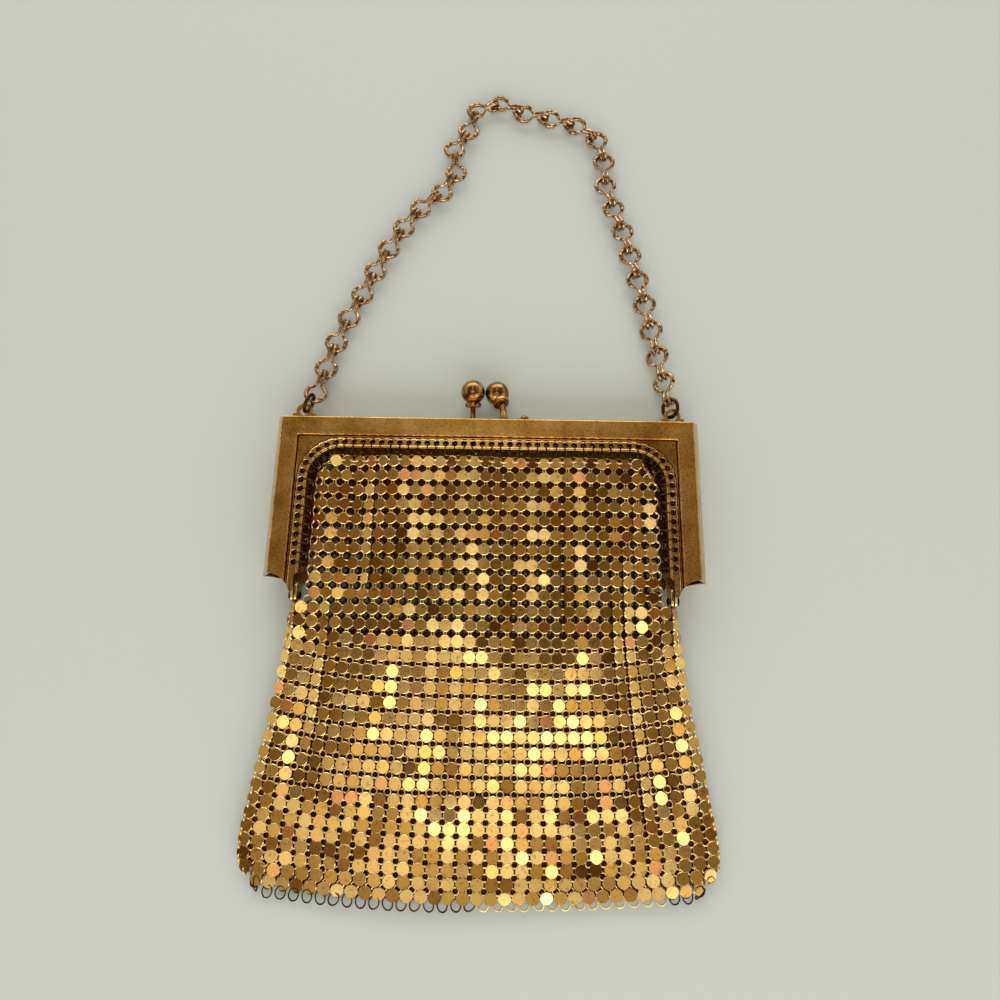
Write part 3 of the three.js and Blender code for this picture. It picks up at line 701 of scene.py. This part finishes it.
def link(reach, spread):
    """One link about its ring's centre, with its hook along +X round a wire at the distance reach"""
    ring = [
        (RING * math.cos(math.radians(angle)), spread * RING * math.sin(math.radians(angle)), 0)
        for angle in range(26, 335, 28)
    ]
    sides = []
    for side in (-HALF_STRAND_GAP, HALF_STRAND_GAP):
        hook = [
            (reach + HOOK_RADIUS * math.cos(bend), side, HOOK_RADIUS * math.sin(bend))
            for bend in map(math.radians, (120, 60, 0, HOOK_LAST_BEND))
        ]
        sides.append([(RING + WIRE, side, 0.3), *hook])
    tip = (reach - 1.6, 0, -1.17)
    points = [*ring, *sides[0], tip, *sides[1][::-1]]
    ring_spans = len(ring) - 1
    hook_spans = len(points) - ring_spans
    steps = [4] * ring_spans + [3] * hook_spans
    # The chasing makes the ring's wire wide and narrow in turn, and fades out at its two ends
    chased = [1.56 if step % 2 else 1.2 for step in range(4 * ring_spans - 8)]
    notches = [1.0, 1.1, 1.05, 1.25, *chased, 1.25, 1.05, 1.1, 1.0] + [0.98] * (3 * hook_spans)
    return bent_wire("link", through(points, steps, closed=True), WIRE, closed=True, swell=notches)


def end_ring(name, hole, towards, roll):
    """Hangs an oval ring in an ear's hole and gives the place where it holds the chain"""
    bpy.ops.mesh.primitive_torus_add(
        major_radius=END_RING, minor_radius=END_WIRE, major_segments=40, minor_segments=14
    )
    ring = alone(bpy.context.object)
    ring.name = ring.data.name = name
    ring.rotation_euler = (math.pi / 2, 0, 0)
    bpy.ops.object.transform_apply()
    pick(ring, "vertices", lambda place, vertex: abs(place.x) < 1.2)
    bpy.ops.transform.resize(value=(1, 1, 0.96))
    bpy.ops.object.mode_set(mode="OBJECT")
    direction = Vector((towards.x - hole.x, towards.y - hole.y, 0)).normalized()
    aimed(ring, hole + direction * END_RING, direction, roll)
    smooth(ring, 180)
    handed_in(settled(ring), dark_brass, "tarnished_brass", name.replace("oval", "end"))
    return hole + direction * (2 * END_RING - RIM_INSET)


rosy_brass = brown_metal("chased_rosy_brass", [
    (0.34, "#4A3420"), (0.44, "#8E6C46"), (0.56, "#B49468"), (0.68, "#ECD6B0"),
], 0.26, 1300)
end_ring("oval_ring_left", left_hole, ring_centres[0], 0)
hold = end_ring("oval_ring_right", right_hole, ring_centres[-1], 40)
# The rings at the very top lie askew, so they look narrower than the others
TOP_RUN = 3.5
ASKEW_SPREAD = 0.83
ROUND_SPREAD = 1.06
for index in reversed(range(LINKS)):
    centre = ring_centres[index]
    direction = hold - centre
    roll = rolls.get(index, 0)
    spread = ASKEW_SPREAD if centre.y > CHAIN_REACH - TOP_RUN else ROUND_SPREAD
    piece = aimed(link(direction.length, spread), centre, direction, roll)
    piece.name = piece.data.name = f"folded_link_{index + 1:02d}"
    if index:
        forward = direction.normalized()
        level = Vector((0, 0, 1)).cross(forward).normalized()
        normal = Quaternion(forward, math.radians(roll)) @ forward.cross(level)
        back = ring_centres[index - 1] - centre
        back -= normal * back.dot(normal)
        hold = centre + back.normalized() * (RING - RIM_INSET)
    smooth(piece, 60)
    handed_in(settled(piece), rosy_brass, "chain_brass", f"chain_link_{index + 1:02d}")

# Mesh bag
# Brass discs in rows and columns, each with four arms that fold down round the small wire rings between
# it and its neighbours. The front and the back are one tube of mesh, open at the sides inside the frame.
BAG_LENGTH = 116.2
BAG_HALF_WIDTH = 56.0
BAG_DEPTH = 7.3
BAG_LIFT = 3.0
COLUMNS = 66
ROWS = 30
# Shares of the bag's sizes, as in its CAD solid: down, width, back, front, roundness, lift
bag_rows = np.array([
    (0.05, 0.84, 0.07, 0.98, 9, 0), (0.17, 0.84, 0.07, 0.99, 9, 0), (0.31, 0.84, 0.05, 1, 8, 0),
    (0.417, 0.85, 0.01, 1, 5, 0), (0.435, 0.862, 0, 0.99, 4, 0), (0.49, 0.866, 0, 0.96, 3.4, 0),
    (0.56, 0.888, 0, 0.92, 3, 0), (0.637, 0.905, 0, 0.85, 3, 0), (0.723, 0.941, 0, 0.75, 3, 0.1),
    (0.81, 0.966, 0, 0.63, 3, 0.27), (0.886, 0.996, 0, 0.52, 3, 0.53), (0.938, 1, 0, 0.44, 3, 0.77),
    (0.968, 0.982, 0, 0.38, 3, 0.93), (0.988, 0.943, 0, 0.33, 3, 1), (1, 0.884, 0.04, 0.23, 3, 1),
])
# Upright pleats, gathered at the frame: place at the top and at the foot, width, rise
pleats = [
    (-0.71, -0.82, 0.09, 0.8), (-0.38, -0.43, 0.11, 0.8), (-0.09, -0.07, 0.11, 1),
    (0.07, 0.16, 0.09, 0.5), (0.43, 0.5, 0.11, 1), (0.75, 0.84, 0.08, 0.7),
]
PLEAT_RISE = 0.8
PLEAT_END = 0.86
# The sides are drawn up from the share of the length where the bag flares
SIDE_RISE = 3.6
FLARE_START = 0.42
FLARE_RUN = 0.12
row_heights = np.interp(
    np.arange(-1, ROWS + 1), [-1, 0, 12, 22, 29, 30], [-8.4, -11.6, -57.4, -94.0, -114.7, -117.0]
)
# The rows' values smoothed along the length
even_down = np.linspace(-0.02, 1.04, 500)
kernel = np.hanning(41) / np.hanning(41).sum()
form = np.array([
    np.convolve(np.pad(np.interp(even_down, bag_rows[:, 0], values), 20, "edge"), kernel, "valid")
    for values in bag_rows.T[1:]
])


def bag_line(row, columns):
    """Places round the bag at a row, for columns counted from the left edge over the front and back again"""
    level = -np.interp(row, np.arange(-1, ROWS + 1), row_heights) / BAG_LENGTH
    angle = np.linspace(-math.pi / 2, math.pi / 2, 400)
    share = np.sin(angle)
    flare = np.clip((level - FLARE_START) / FLARE_RUN, 0, 1) - np.interp(level, even_down, form[4])
    down = level - SIDE_RISE * max(flare, 0) * share ** 4 / BAG_LENGTH
    width, back, front, roundness, lift = (np.interp(down, even_down, values) for values in form)
    bulge = (1 - np.abs(share) ** roundness).clip(0) ** (1 / roundness)
    middle = BAG_DEPTH * (front + back) / 2
    half = BAG_DEPTH * (front - back) / 2
    fade = (1 - down / PLEAT_END).clip(0)
    fold = np.zeros_like(share)
    for top, foot, spread, rise in pleats:
        centre = top + (foot - top) * (1 - fade)
        fold += rise * PLEAT_RISE * fade * np.exp(-((share * width - centre) / spread) ** 2)
    x = np.concatenate([share * width, (share * width)[::-1]]) * BAG_HALF_WIDTH
    z = np.concatenate([middle + half * bulge + fold * (1 - share ** 8), (middle - half * bulge)[::-1]])
    fall = lift * BAG_LIFT * share ** 2 - down * BAG_LENGTH
    y = np.concatenate([fall, fall[::-1]])
    steps = np.sqrt(sum(np.diff(v, append=v[0]) ** 2 for v in (x, y, z)))
    runs = np.concatenate([[0], np.cumsum(steps)])
    wanted = (np.asarray(columns, float) % COLUMNS) / COLUMNS * runs[-1]
    return tucked(np.stack([np.interp(wanted, runs, np.append(v, v[0])) for v in (x, y, z)], axis=1))


OPENING_HALF_WIDTH = 46.05
OPENING_TOP = -8.15
OPENING_CORNER = 8.35
TUCK_WIDTH = 3.0
TUCK_DEPTH = 2.6
MOUTH_SHOULDER = -48.8
HINGE_NOTCH = -40.0


def inside_frame(x, y):
    """How far places are inside the edge of the band's opening"""
    over_x = np.abs(x) - (OPENING_HALF_WIDTH - OPENING_CORNER)
    over_y = y - (OPENING_TOP - OPENING_CORNER)
    corner = np.hypot(over_x.clip(0), over_y.clip(0)) + np.maximum(over_x, over_y).clip(None, 0)
    return OPENING_CORNER - corner


def tucked(points):
    """Bends the mesh inwards along the edge of the opening, so that it passes under the band"""
    x, y, z = points.T
    near = (1 - inside_frame(x, y) / TUCK_WIDTH).clip(0, 1.6)
    near = near * (1 / (1 + np.exp(-(y - MOUTH_SHOULDER - 4))))
    drop = TUCK_DEPTH * near ** 2 / (0.35 + 0.65 * near)
    return np.stack([x, y, z - drop * np.sign(z - PARTING)], axis=1)


# Folds that sink into the front, each along a line: X at its two ends, Y at its two ends, width, depth
hollows = [
    (-33.5, -32.6, -8, -46, 4.2, 1.7), (4.7, 7.9, -8, -60, 3.6, 1.1), (19.5, 18.8, -20, -60, 3.0, 0.7),
    (42.5, 38.3, -12, -56, 4.0, 1.7), (38.5, 43.5, -50, -100, 4.6, 2.9), (-41.5, -43.0, -44, -90, 3.2, 1.5),
    (-9.4, -7.8, -78, -96, 3.2, 0.8), (-20.0, -24.0, -60, -100, 3.5, 0.5), (27.0, 31.0, -90, -114, 4.0, 0.5),
]


RIPPLE = 0.34
RIPPLE_LENGTH = 9
SWELL = 0.7
SWELL_LENGTH = 25


def waves(place):
    """Hollows and swells of the front of the mesh, in millimetres"""
    ripple = noise.noise(place / RIPPLE_LENGTH)
    swell = RIPPLE * ripple + SWELL * noise.noise(place / SWELL_LENGTH + Vector((7, 3, 1)))
    for start_x, end_x, start_y, end_y, width, depth in hollows:
        share = (place.y - start_y) / (end_y - start_y)
        aside = (place.x - start_x - (end_x - start_x) * share) / width
        swell -= depth * math.exp(-aside ** 2 - (2 * share - 1) ** 6)
    return swell


# No disc on the front leans further than this towards the foot, and one in ten hangs looser
STEEPEST = -0.2
LOOSE_SHARE = 0.1
LOOSE_TILT = 0.11
HELD_TILT = 0.03
MIDDLE_SWELL = 0.5
SWELL_KEPT = 0.5
SLOPE_STEP = 0.5


def draped(place, across, outward):
    """Moves a place on the front with its hollow or swell, and turns its two directions to the slope"""
    if outward.z > 0:
        swell = waves(place)
        along_x = (waves(place + Vector((SLOPE_STEP, 0, 0))) - swell) / SLOPE_STEP
        along_y = (waves(place + Vector((0, SLOPE_STEP, 0))) - swell) / SLOPE_STEP
        place = place + outward * (swell - MIDDLE_SWELL) * SWELL_KEPT
        outward = (outward + Vector((-along_x, -along_y, 0)) * outward.z).normalized()
        outward.y = max(outward.y, STEEPEST)
    loose = LOOSE_TILT if draw.random() < LOOSE_SHARE else HELD_TILT
    outward = (outward + Vector((draw.gauss(0, loose), draw.gauss(0, loose), 0))).normalized()
    across = (across - outward * across.dot(outward)).normalized()
    return place, across, outward


def lattice(rows, first_column):
    """Places and upright turns of a lattice on the bag, with the row and column of each"""
    found = []
    columns = first_column + np.arange(COLUMNS)
    for row in rows:
        here = bag_line(row, columns)
        aside = bag_line(row, columns + 0.1) - bag_line(row, columns - 0.1)
        above = bag_line(max(row - 0.1, -1), columns) - bag_line(row + 0.1, columns)
        for index in range(COLUMNS):
            across = Vector(aside[index]).normalized()
            outward = across.cross(Vector(above[index])).normalized()
            found.append((row, columns[index], Vector(here[index]), across, outward))
    return found


HALF_ROOM_UNDER_BAND = 1.75
FURTHEST_UNDER_BAND = -2.0
LEAST_BESIDE_HINGE = 0.3


def in_frame(place, outward, reach):
    """True where a flat piece of that reach on the bag is clear of the frame"""
    if place.y < MOUTH_SHOULDER - 0.5:
        return True
    if abs(outward.z) < 0.3:
        return False
    inside = inside_frame(np.array(place.x), np.array(place.y))
    under_band = abs(place.z - PARTING) < HALF_ROOM_UNDER_BAND
    least = LEAST_BESIDE_HINGE if place.y < HINGE_NOTCH else FURTHEST_UNDER_BAND
    return inside > reach * abs(outward.z) or (under_band and inside > least)


UNDER_MESH = 0.06


def lifted(place, outward, reach, below):
    """A place raised as far as keeps a piece of that reach and depth above the surface the purse lies on"""
    lowest = UNDER_MESH + below + reach * math.sqrt(max(0, 1 - outward.z ** 2))
    return Vector((place.x, place.y, max(place.z, lowest)))


def turn_of(across, outward):
    up = outward.cross(across).normalized()
    return Matrix((across, up, outward)).transposed().to_quaternion()


DISC_REACH = 1.7
DISC_CLEAR_REACH = 1.6
ARMS_BELOW = 0.55
draw = random.Random(8)
front_rows = np.arange(ROWS)
# Seen from above, the rows of the back lie in the gaps between those of the front
back_rows = np.interp(np.arange(ROWS + 1), [0, 18, ROWS], [-1.0, 16.5, ROWS - 1.5])
disc_places = {"front": [], "back": []}
for row, column, place, across, outward in [
    *(spot for spot in lattice(front_rows, 0.5) if spot[1] < COLUMNS / 2),
    *(spot for spot in lattice(back_rows, 0.0) if spot[1] > COLUMNS / 2),
]:
    if not in_frame(place, outward, DISC_CLEAR_REACH):
        continue
    side = "front" if column < COLUMNS / 2 else "back"
    place, across, facing = draped(place, across, outward)
    place = lifted(place, facing, DISC_REACH, max(0, ARMS_BELOW * facing.z))
    disc_places[side].append((place, turn_of(across, facing), draw.random()))

# Rings lie under the discs' corners. Low on the front they hang slack, and the last row is the hem's loops,
# which hang free along the left, are bright brass right of the middle and dark again from near the right
# corner.
RING_REACH = 1.4
RING_CLEAR_REACH = 1.55
RING_BELOW = 0.3
RING_DEPTH = 0.34
SLACK_BELOW = -58.0
HEM_DROP = 1.1
HEM_DROP_LEAST = 0.1
HEM_SWAY = 0.22
HEM_BRIGHT_TO = 44
ring_places = {"front": [], "front_slack": [], "back": [], "hem_left": [], "hem_right": []}
for row, column, place, across, outward in [
    *(spot for spot in lattice(np.arange(-0.5, ROWS), 0.0) if spot[1] <= COLUMNS / 2),
    *(spot for spot in lattice(back_rows + 0.5, 0.5) if spot[1] > COLUMNS / 2),
]:
    if not in_frame(place, outward, RING_CLEAR_REACH):
        continue
    side = "front" if column <= COLUMNS / 2 else "back"
    side = "hem" if row > ROWS - 1.2 else side
    place, across, facing = draped(place, across, outward)
    if side == "hem":
        hang = max(0, -place.x / BAG_HALF_WIDTH) ** 0.5 + max(0, place.x / BAG_HALF_WIDTH) ** 8
        place = place - Vector((0, HEM_DROP_LEAST + HEM_DROP * min(1, hang) * max(0, outward.z), 0))
        across = Quaternion(facing, draw.gauss(0, HEM_SWAY)) @ across
        side = "hem_left" if place.x < 0 or place.x > HEM_BRIGHT_TO else "hem_right"
    place = lifted(place - outward * RING_DEPTH, facing, RING_REACH, RING_BELOW)
    if side == "front" and place.y < SLACK_BELOW:
        side = "front_slack"
    ring_places[side].append((place, turn_of(across, facing), draw.random()))

DISC_RADIUS = 1.55
DISC_THICKNESS = 0.22
disc_profile = [
    (0, 0), (1.43, 0), (DISC_RADIUS, -0.09), (DISC_RADIUS, -DISC_THICKNESS), (0, -DISC_THICKNESS),
]


def arms_folded(disc):
    """Draws four arms out of a disc's rim, down and back in beneath it, for the rings to hang in"""
    for quarter in range(4):
        angle = math.radians(45 + 90 * quarter)
        out = Vector((math.cos(angle), math.sin(angle), 0))

        def faces_out(place, face):
            return face.normal.dot(out) > 0.99 and place.dot(out) > DISC_RADIUS - 0.05

        pick(disc, "polygons", faces_out)
        down_and_out = (out.x * 0.12, out.y * 0.12, -0.28)
        bpy.ops.mesh.extrude_region_move(TRANSFORM_OT_translate={"value": down_and_out})
        back_in = (-out.x * 0.75, -out.y * 0.75, -0.22)
        bpy.ops.mesh.extrude_region_move(TRANSFORM_OT_translate={"value": back_in})
        bpy.ops.object.mode_set(mode="OBJECT")
    # Marks the underside and the arms, which the disc material paints darker brown as shade
    under = disc.data.attributes.new("under", "FLOAT", "POINT")
    under.data.foreach_set("value", [float(vertex.co.z < -0.2) for vertex in disc.data.vertices])


# Bright flat-rolled brass discs: each mirrors its own patch of the room, and no two are tinted or scratched
# alike. Some are worn to copper. Their shade is a value that each disc carries.
disc_brass, tree = blank("flat_rolled_mesh_brass")
place = add(tree, "ShaderNodeTexCoord").outputs["Object"]
shade = add(tree, "ShaderNodeAttribute", attribute_name="shade").outputs["Fac"]
tint = ramp(tree, shade, [
    (0.0, "#8A6228"), (0.14, "#C49A4E"), (0.4, "#E0BA6C"), (0.7, "#EECE84"), (0.91, "#E8C278"),
    (0.96, "#E8B070"), (1.0, "#DC9C60"),
])
shifted = add(tree, "ShaderNodeVectorMath", {0: place, 1: shade}, operation="ADD").outputs[0]
scuffs = noisy(tree, shifted, 900.0, 5.0)
fine = noisy(tree, shifted, 3200.0, 3.0)
stain = ramp(tree, scuffs, [(0.3, "#A88050"), (0.44, "#FFFFFF"), (0.7, "#FFFFFF")])
# The underside of each disc and its folded arms are painted darker brown as shade, and are duller than its
# face
inside = add(tree, "ShaderNodeAttribute", attribute_name="under").outputs["Fac"]
colour = mixed(tree, inside, mixed(tree, 0.5, tint, stain), linear("#6B4420"), "MIX")
roughness = reckoned(tree, "MULTIPLY_ADD", fine, 0.16, 0.1)
roughness = reckoned(tree, "MULTIPLY_ADD", inside, 0.3, roughness)
metal(tree, colour, roughness, bumped(tree, scuffs, 0.12, 0.00003))

wire_brass = brown_metal("drawn_brass_wire", [
    (0.3, "#B8904E"), (0.5, "#E4C27C"), (0.7, "#F6E0A4"),
], 0.24, 500)

for side in ("front", "back"):
    disc = turned("disc", disc_profile, 16)
    alone(disc)
    bpy.ops.object.mode_set(mode="EDIT")
    bpy.ops.mesh.select_all(action="SELECT")
    bpy.ops.transform.rotate(value=math.radians(11.25), orient_axis="Z", center_override=(0, 0, 0))
    bpy.ops.object.mode_set(mode="OBJECT")
    arms_folded(disc)
    discs = set_out(f"mesh_discs_{side}", disc, disc_places[side])
    smooth(discs, 30)
    handed_in(settled(discs), disc_brass, "mesh_brass", *(["mesh_bag"] if side == "front" else []))
for side, radius, wire, brass in (
    ("front", 1.24, 0.19, wire_brass),
    ("front_slack", 0.85, 0.2, wire_brass),
    # The back layer's rings are drawn in the dark brass as painted shade of the bag's inside
    ("back", 0.85, 0.3, dark_brass),
):
    bpy.ops.mesh.primitive_torus_add(
        major_radius=radius, minor_radius=wire, major_segments=16, minor_segments=5
    )
    rings = set_out(f"mesh_rings_{side}", bpy.context.object, ring_places[side])
    smooth(rings, 80)
    handed_in(settled(rings), brass, "mesh_brass")

for side, brass in (("left", dark_brass), ("right", wire_brass)):
    bpy.ops.mesh.primitive_torus_add(
        major_radius=1.35, minor_radius=0.19, major_segments=20, minor_segments=6
    )
    bpy.context.object.scale = (0.85, 1.1, 1)
    bpy.ops.object.transform_apply()
    hem = set_out(f"hem_loops_{side}", bpy.context.object, ring_places[f"hem_{side}"])
    smooth(hem, 80)
    handed_in(settled(hem), brass, "tarnished_brass" if side == "left" else "mesh_brass")

# Wire loops through the band's holes
# One thin loop of wire in each hole goes round the band's rim and catches the first rings of the mesh.
LOOP_HALF_LENGTH = 1.55
LOOP_HALF_HEIGHT = 0.75
LOOP_WIRE = 0.15
LOOP_INSET = 1.6
LOOP_HEIGHT = 2.62
LOOP_SWAY = 0.16
loop_line = [
    (LOOP_HALF_LENGTH * math.cos(angle), 0, LOOP_HALF_HEIGHT * math.sin(angle))
    for angle in np.linspace(0, 2 * math.pi, 16, endpoint=False)
]
for side, word in ((1, "front"), (-1, "back")):
    loop = bent_wire("loop", loop_line, LOOP_WIRE, closed=True, rounding=1)
    places = []
    for place, inward in hole_places:
        centre = place + inward * LOOP_INSET + Vector((0, 0, PARTING + side * LOOP_HEIGHT))
        aside = Vector((0, 0, 1)).cross(inward)
        turn = Matrix((inward, aside, Vector((0, 0, 1)))).transposed().to_quaternion()
        sway = Quaternion((0, 0, 1), draw.gauss(0, LOOP_SWAY))
        places.append((centre, sway @ turn, draw.random()))
    loops = set_out(f"band_loops_{word}", loop, places)
    smooth(loops, 80)
    handed_in(settled(loops), dark_brass, "tarnished_brass")

# Floor, light and camera
# A plain pale surface, two soft lamps over the purse beside a lit patch of ceiling, and a wide weak window
# before and behind it, in a warm room that is dark right overhead, seen from the photograph's place.
bpy.ops.mesh.primitive_plane_add(size=6, location=(0, 0, 0))
floor = bpy.context.object
floor.name = "floor"
pale, tree = blank("pale_matt_board")
place = add(tree, "ShaderNodeTexCoord").outputs["Object"]
fibre = noisy(tree, place, 700.0, 4.0)
shader = add(tree, "ShaderNodeBsdfPrincipled", {
    "Base Color": linear("#C8D1CE"), "Roughness": 0.75, "Normal": bumped(tree, fibre, 0.15, 0.0003),
})
add(tree, "ShaderNodeOutputMaterial", {"Surface": shader.outputs[0]})
floor.data.materials.append(pale)


def soft_box(name, place, target, size, size_y, brightness, hue):
    """A flat lamp facing a target, with its two sides in metres and its brightness over its whole face"""
    light = bpy.data.lights.new(name, "AREA")
    light.shape = "RECTANGLE"
    light.size = size
    light.size_y = size_y
    light.energy = brightness * math.pi * size * size_y
    light.color = linear(hue)[:3]
    lamp = bpy.data.objects.new(name, light)
    lamp.location = place
    lamp.rotation_mode = "QUATERNION"
    lamp.rotation_quaternion = (Vector(target) - Vector(place)).to_track_quat("-Z", "Y")
    bpy.context.scene.collection.objects.link(lamp)


soft_box("lamp", (0.048, -0.19, 0.745), (0.048, -0.19, 0.0), 0.2, 0.18, 1.9, "#FFFEFA")
soft_box("second_lamp", (-0.03, 0.15, 0.75), (-0.03, 0.15, 0.0), 0.1, 0.24, 1.3, "#FFFEFA")
soft_box("ceiling", (-0.05, -0.3, 0.75), (-0.05, -0.3, 0.0), 0.5, 0.42, 0.74, "#FFFCF2")
soft_box("near_window", (0.2, -1.2, 0.6), (0.0, 0.0, 0.0), 1.8, 0.8, 2.6, "#FCFDFF")
soft_box("far_window", (-0.1, 1.2, 0.6), (0.0, 0.0, 0.0), 1.8, 0.8, 2.0, "#FCFDFF")
room = bpy.data.worlds.new("room")
room.use_nodes = True
tree = room.node_tree
tree.nodes.clear()
heading = add(tree, "ShaderNodeTexCoord").outputs["Generated"]
ways = add(tree, "ShaderNodeSeparateXYZ", {"Vector": heading})
# Pale walls and a dark brown zenith. The upper room is darker to the sides and in patches, which gives the
# flat discs something uneven to mirror.
walls = ramp(tree, ways.outputs["Z"], [
    (0.0, "#9A988F"), (0.3, "#CFCDC4"), (0.86, "#DCD8CC"), (0.925, "#C8BFAA"), (0.95, "#786444"),
    (1.0, "#685536"),
])
aside = reckoned(tree, "ABSOLUTE", ways.outputs["X"])
sides = ramp(tree, aside, [(0.0, "#FFFFFF"), (0.12, "#EEEAE2"), (0.26, "#A8946E"), (1.0, "#867452")])
overhead = add(tree, "ShaderNodeMapRange", {
    "Value": ways.outputs["Z"], "From Min": 0.3, "From Max": 0.75,
}).outputs["Result"]
shaded = ramp(tree, noisy(tree, heading, 6.0, 2.0), [(0.4, "#8A8278"), (0.5, "#D2CFC8"), (0.62, "#FFFFFF")])
walls = mixed(tree, overhead, mixed(tree, overhead, walls, sides), shaded)
light = add(tree, "ShaderNodeBackground", {"Color": walls, "Strength": 1.75})
add(tree, "ShaderNodeOutputWorld", {"Surface": light.outputs[0]})
bpy.context.scene.world = room

view = bpy.data.cameras.new("photo_view")
view.lens = 27.04
view.sensor_width = 36
view.clip_start = 0.005
camera = bpy.data.objects.new("photo_view", view)
right = Vector((0.99982, 0.01833, -0.00428))
above = Vector((-0.0165, 0.96269, 0.27009))
backward = Vector((0.00907, -0.26997, 0.96283))
turn = Matrix((right, above, backward)).transposed()
camera.matrix_world = Matrix.Translation((0.0054, -0.07327 + SHIFT_Y * MM, 0.19121)) @ turn.to_4x4()
bpy.context.scene.collection.objects.link(camera)
bpy.context.scene.camera = camera

bpy.context.scene.view_settings.view_transform = "Standard"
